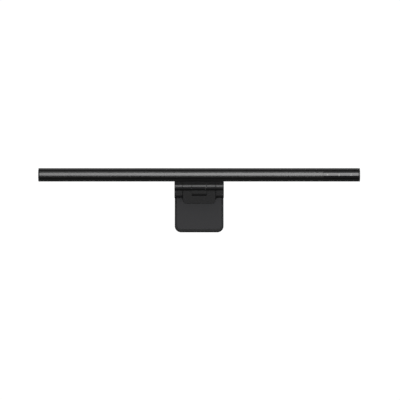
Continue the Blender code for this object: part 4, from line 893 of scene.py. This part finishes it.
sweep = np.linspace(-0.5 * math.pi, (2 * TURNS - 0.5) * math.pi, int(TURNS * 30))
coil = np.stack([np.linspace(-COIL_HALF, COIL_HALF, len(sweep)), LEG_Y + COIL * np.cos(sweep),
                 LEG_Z + COIL * np.sin(sweep)], 1)
reach = np.linspace(TAIL_END, TAIL_START, TAIL_POINTS)
still = np.ones(TAIL_POINTS)
front_tail = np.stack([-COIL_HALF * still, LEG_Y - reach, (LEG_Z - COIL) * still], 1)
leg_tail = np.stack([COIL_HALF * still, (LEG_Y - COIL) * still, LEG_Z - reach[::-1] * LEG_TAIL], 1)
spring = wire_along("leg_spring", np.concatenate([front_tail, coil, leg_tail]), (LEG_Y, LEG_Z), WIRE)
spring.data.materials.append(NICKEL)
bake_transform(spring)
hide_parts("torsion_spring")
print("the spring has", TURNS, "turns and", len(spring.data.polygons), "faces")

# %% [markdown]
# The power inlet is a standard socket in a small oval surround. The socket's shell and tongue come
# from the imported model; the surround gets its softened edge here, and the tongue its row of gold
# contacts.

# %% Power inlet
CONTACTS, PITCH, CONTACT_HALF = 12, 0.5 * MM, (0.12 * MM, 0.4 * MM)
mouth = BAR_Y + BAR_RADIUS - 0.3 * MM
surround = slab("inlet_surround", inlet_shape(INLET_BORDER, 2.0 * MM), mouth - 2.2 * MM, mouth + 0.1 * MM,
                along_y, 0.4 * MM)
bore = plain("bore", inlet_shape(0.15 * MM, 1.7 * MM), mouth - 3 * MM, mouth + MM, along_y)
surround = carve(surround, bore)
settle(surround, "light_bar", PLASTIC, CAP_ABS, "usb_surround")
corners = np.array([[-1, -1], [1, -1], [1, 1], [-1, 1]]) * CONTACT_HALF
for index in range(CONTACTS):
    outline = corners + (INLET_X + (index - (CONTACTS - 1) / 2) * PITCH, BAR_Z)
    contact = slab(f"inlet_contact_{index:02d}", outline, mouth - 4.5 * MM, mouth - 1.0 * MM, along_y,
                   0.03 * MM, 2)
    settle(contact, "light_bar", "plated_steel", GOLD_FLASH)

# %% [markdown]
# The floor is a pale disc well below the lamp. It could be one large plane, but a disc has no
# corners to show in other views. Black plastic would pick up its reflection and its bounce, and one
# panel shines from under it, so it gives no reflection, bounce or shadow.

# %% Floor
FLOOR_RADIUS, FLOOR_Z, FLOOR_SIDES = 2.6, -0.45, 96
angle = np.linspace(0, 2 * math.pi, FLOOR_SIDES, endpoint=False)
disc = np.stack([FLOOR_RADIUS * np.cos(angle), FLOOR_RADIUS * np.sin(angle),
                 np.full(FLOOR_SIDES, FLOOR_Z)], 1)
floor_mesh = bpy.data.meshes.new("floor")
floor_mesh.from_pydata(disc.tolist(), [], [list(range(FLOOR_SIDES))])
floor = bpy.data.objects.new("floor", floor_mesh)
bpy.context.scene.collection.objects.link(floor)
floor_mesh.materials.append(finish_recipe("pale matt floor", "#e2e2e0", "#ececea", 60 * MM,
                                          (0.75, 0.85), 0.05 * MM, 600 * MM))
floor.visible_glossy = False
floor.visible_shadow = False
floor.visible_diffuse = False

# %% [markdown]
# A round black tube shows its room as bands along it, so the room is a brightness for each
# direction about X: a turn of 0 degrees is straight in front and 90 is straight up. Walls could be
# built, but a few stops on a colour ramp are simpler. The camera sees plain white behind.

# %% Room light
world = bpy.data.worlds.new("studio")
bpy.context.scene.world = world
world.use_nodes = True
sky = world.node_tree
sky.nodes.clear()
look = add(sky, "ShaderNodeTexCoord")
way = add(sky, "ShaderNodeSeparateXYZ", {"Vector": look.outputs["Generated"]})
front = add(sky, "ShaderNodeMath", {0: way.outputs["Y"], 1: -1.0}, operation="MULTIPLY")
turn = add(sky, "ShaderNodeMath", {0: way.outputs["Z"], 1: front.outputs["Value"]}, operation="ARCTAN2")
level = add(sky, "ShaderNodeMapRange", {"Value": turn.outputs["Value"], "From Min": -math.pi,
                                        "From Max": math.pi})
shade = add(sky, "ShaderNodeValToRGB", {"Fac": level.outputs["Result"]})
ROOM = ((-180, 0.0), (-142, 0.02), (-118, 0.28), (-92, 0.22), (-70, 0.03), (-48, 0.14), (-22, 0.25),
        (0, 0.15), (30, 0.60), (62, 0.65), (72, 0.06), (80, 0.0), (92, 0.0), (108, 0.90), (130, 0.80),
        (146, 0.15), (164, 0.0), (180, 0.0))     # a turn in degrees and its brightness
ramp = shade.color_ramp
for index, (turned_by, value) in enumerate(ROOM):
    position = (turned_by + 180) / 360
    if index < 2:
        stop = ramp.elements[index]
        stop.position = position
    else:
        stop = ramp.elements.new(position)
    stop.color = (value, value, value, 1.0)
room = add(sky, "ShaderNodeBackground", {"Color": shade.outputs["Color"], "Strength": 1.0})
paper = add(sky, "ShaderNodeBackground", {"Color": (1.0, 1.0, 1.0, 1.0), "Strength": 1.05})
path = add(sky, "ShaderNodeLightPath")
mix = add(sky, "ShaderNodeMixShader", {0: path.outputs["Is Camera Ray"], 1: room.outputs["Background"],
                                       2: paper.outputs["Background"]})
add(sky, "ShaderNodeOutputWorld", {"Surface": mix.outputs["Shader"]})
print("the room has", len(ROOM), "stops")

# %% [markdown]
# Five panels light the lamp. The front one, a little above and to the right, shows only as gloss: it
# draws the long bright stripe on the tube. A low one in front and one behind only light surfaces
# evenly, with no gloss, and two more behind give the back its edges. The camera is far away with a
# long lens, so that the bar's two ends look the same.


# %% Lights and camera
def aim(thing, place, target):
    """Put a light or a camera at a place and turn it to look at a target."""
    thing.location = place
    thing.rotation_euler = (Vector(target) - Vector(place)).to_track_quat("-Z", "Y").to_euler()
    bpy.context.scene.collection.objects.link(thing)


PANEL_DISTANCE = 5.0
MIDDLE = (0.0, BAR_Y, BAR_Z)


def panel_light(name, azimuth, elevation, width, height, radiance):
    """An area light that looks at the bar's middle from a direction; azimuth 0 is in front and 90 is
    on the right. Its power is radiance x pi x its area."""
    light = bpy.data.lights.new(name, "AREA")
    light.shape = "RECTANGLE"
    light.size, light.size_y = width, height
    light.energy = radiance * math.pi * width * height
    a, e = math.radians(azimuth), math.radians(elevation)
    way = np.array([math.sin(a) * math.cos(e), -math.cos(a) * math.cos(e), math.sin(e)])
    lamp = bpy.data.objects.new(name, light)
    aim(lamp, (way * PANEL_DISTANCE).tolist(), MIDDLE)
    return lamp


front_panel = panel_light("front panel", 17.0, 10.8, 4.8, 4.5, radiance=6.4)
front_panel.visible_diffuse = False
low_fill = panel_light("even fill panel", 5.0, -16.0, 3.5, 2.5, radiance=17.0)
low_fill.visible_glossy = False
panel_light("back left panel", 222.0, 24.0, 2.6, 2.6, radiance=4.0)
panel_light("back right panel", 138.0, 24.0, 2.6, 2.6, radiance=4.0)
back_fill = panel_light("back fill panel", 180.0, 18.0, 3.0, 3.0, radiance=12.0)
back_fill.visible_glossy = False

FRAME_WIDTH, CAMERA_DISTANCE = 0.560, 4.5
CAMERA_X, CAMERA_Z = 1.2 * MM, -1.58 * MM
camera = bpy.data.cameras.new("camera")
camera.sensor_width = 36.0
camera.lens = camera.sensor_width * CAMERA_DISTANCE / FRAME_WIDTH
camera.clip_end = 50.0
view = bpy.data.objects.new("camera", camera)
aim(view, (CAMERA_X, BAR_Y - CAMERA_DISTANCE, CAMERA_Z), (CAMERA_X, BAR_Y, CAMERA_Z))
scene = bpy.context.scene
scene.camera = view
scene.view_settings.view_transform = "Standard"
scene.view_settings.look = "None"
print("the frame is", FRAME_WIDTH, "m wide at the bar")
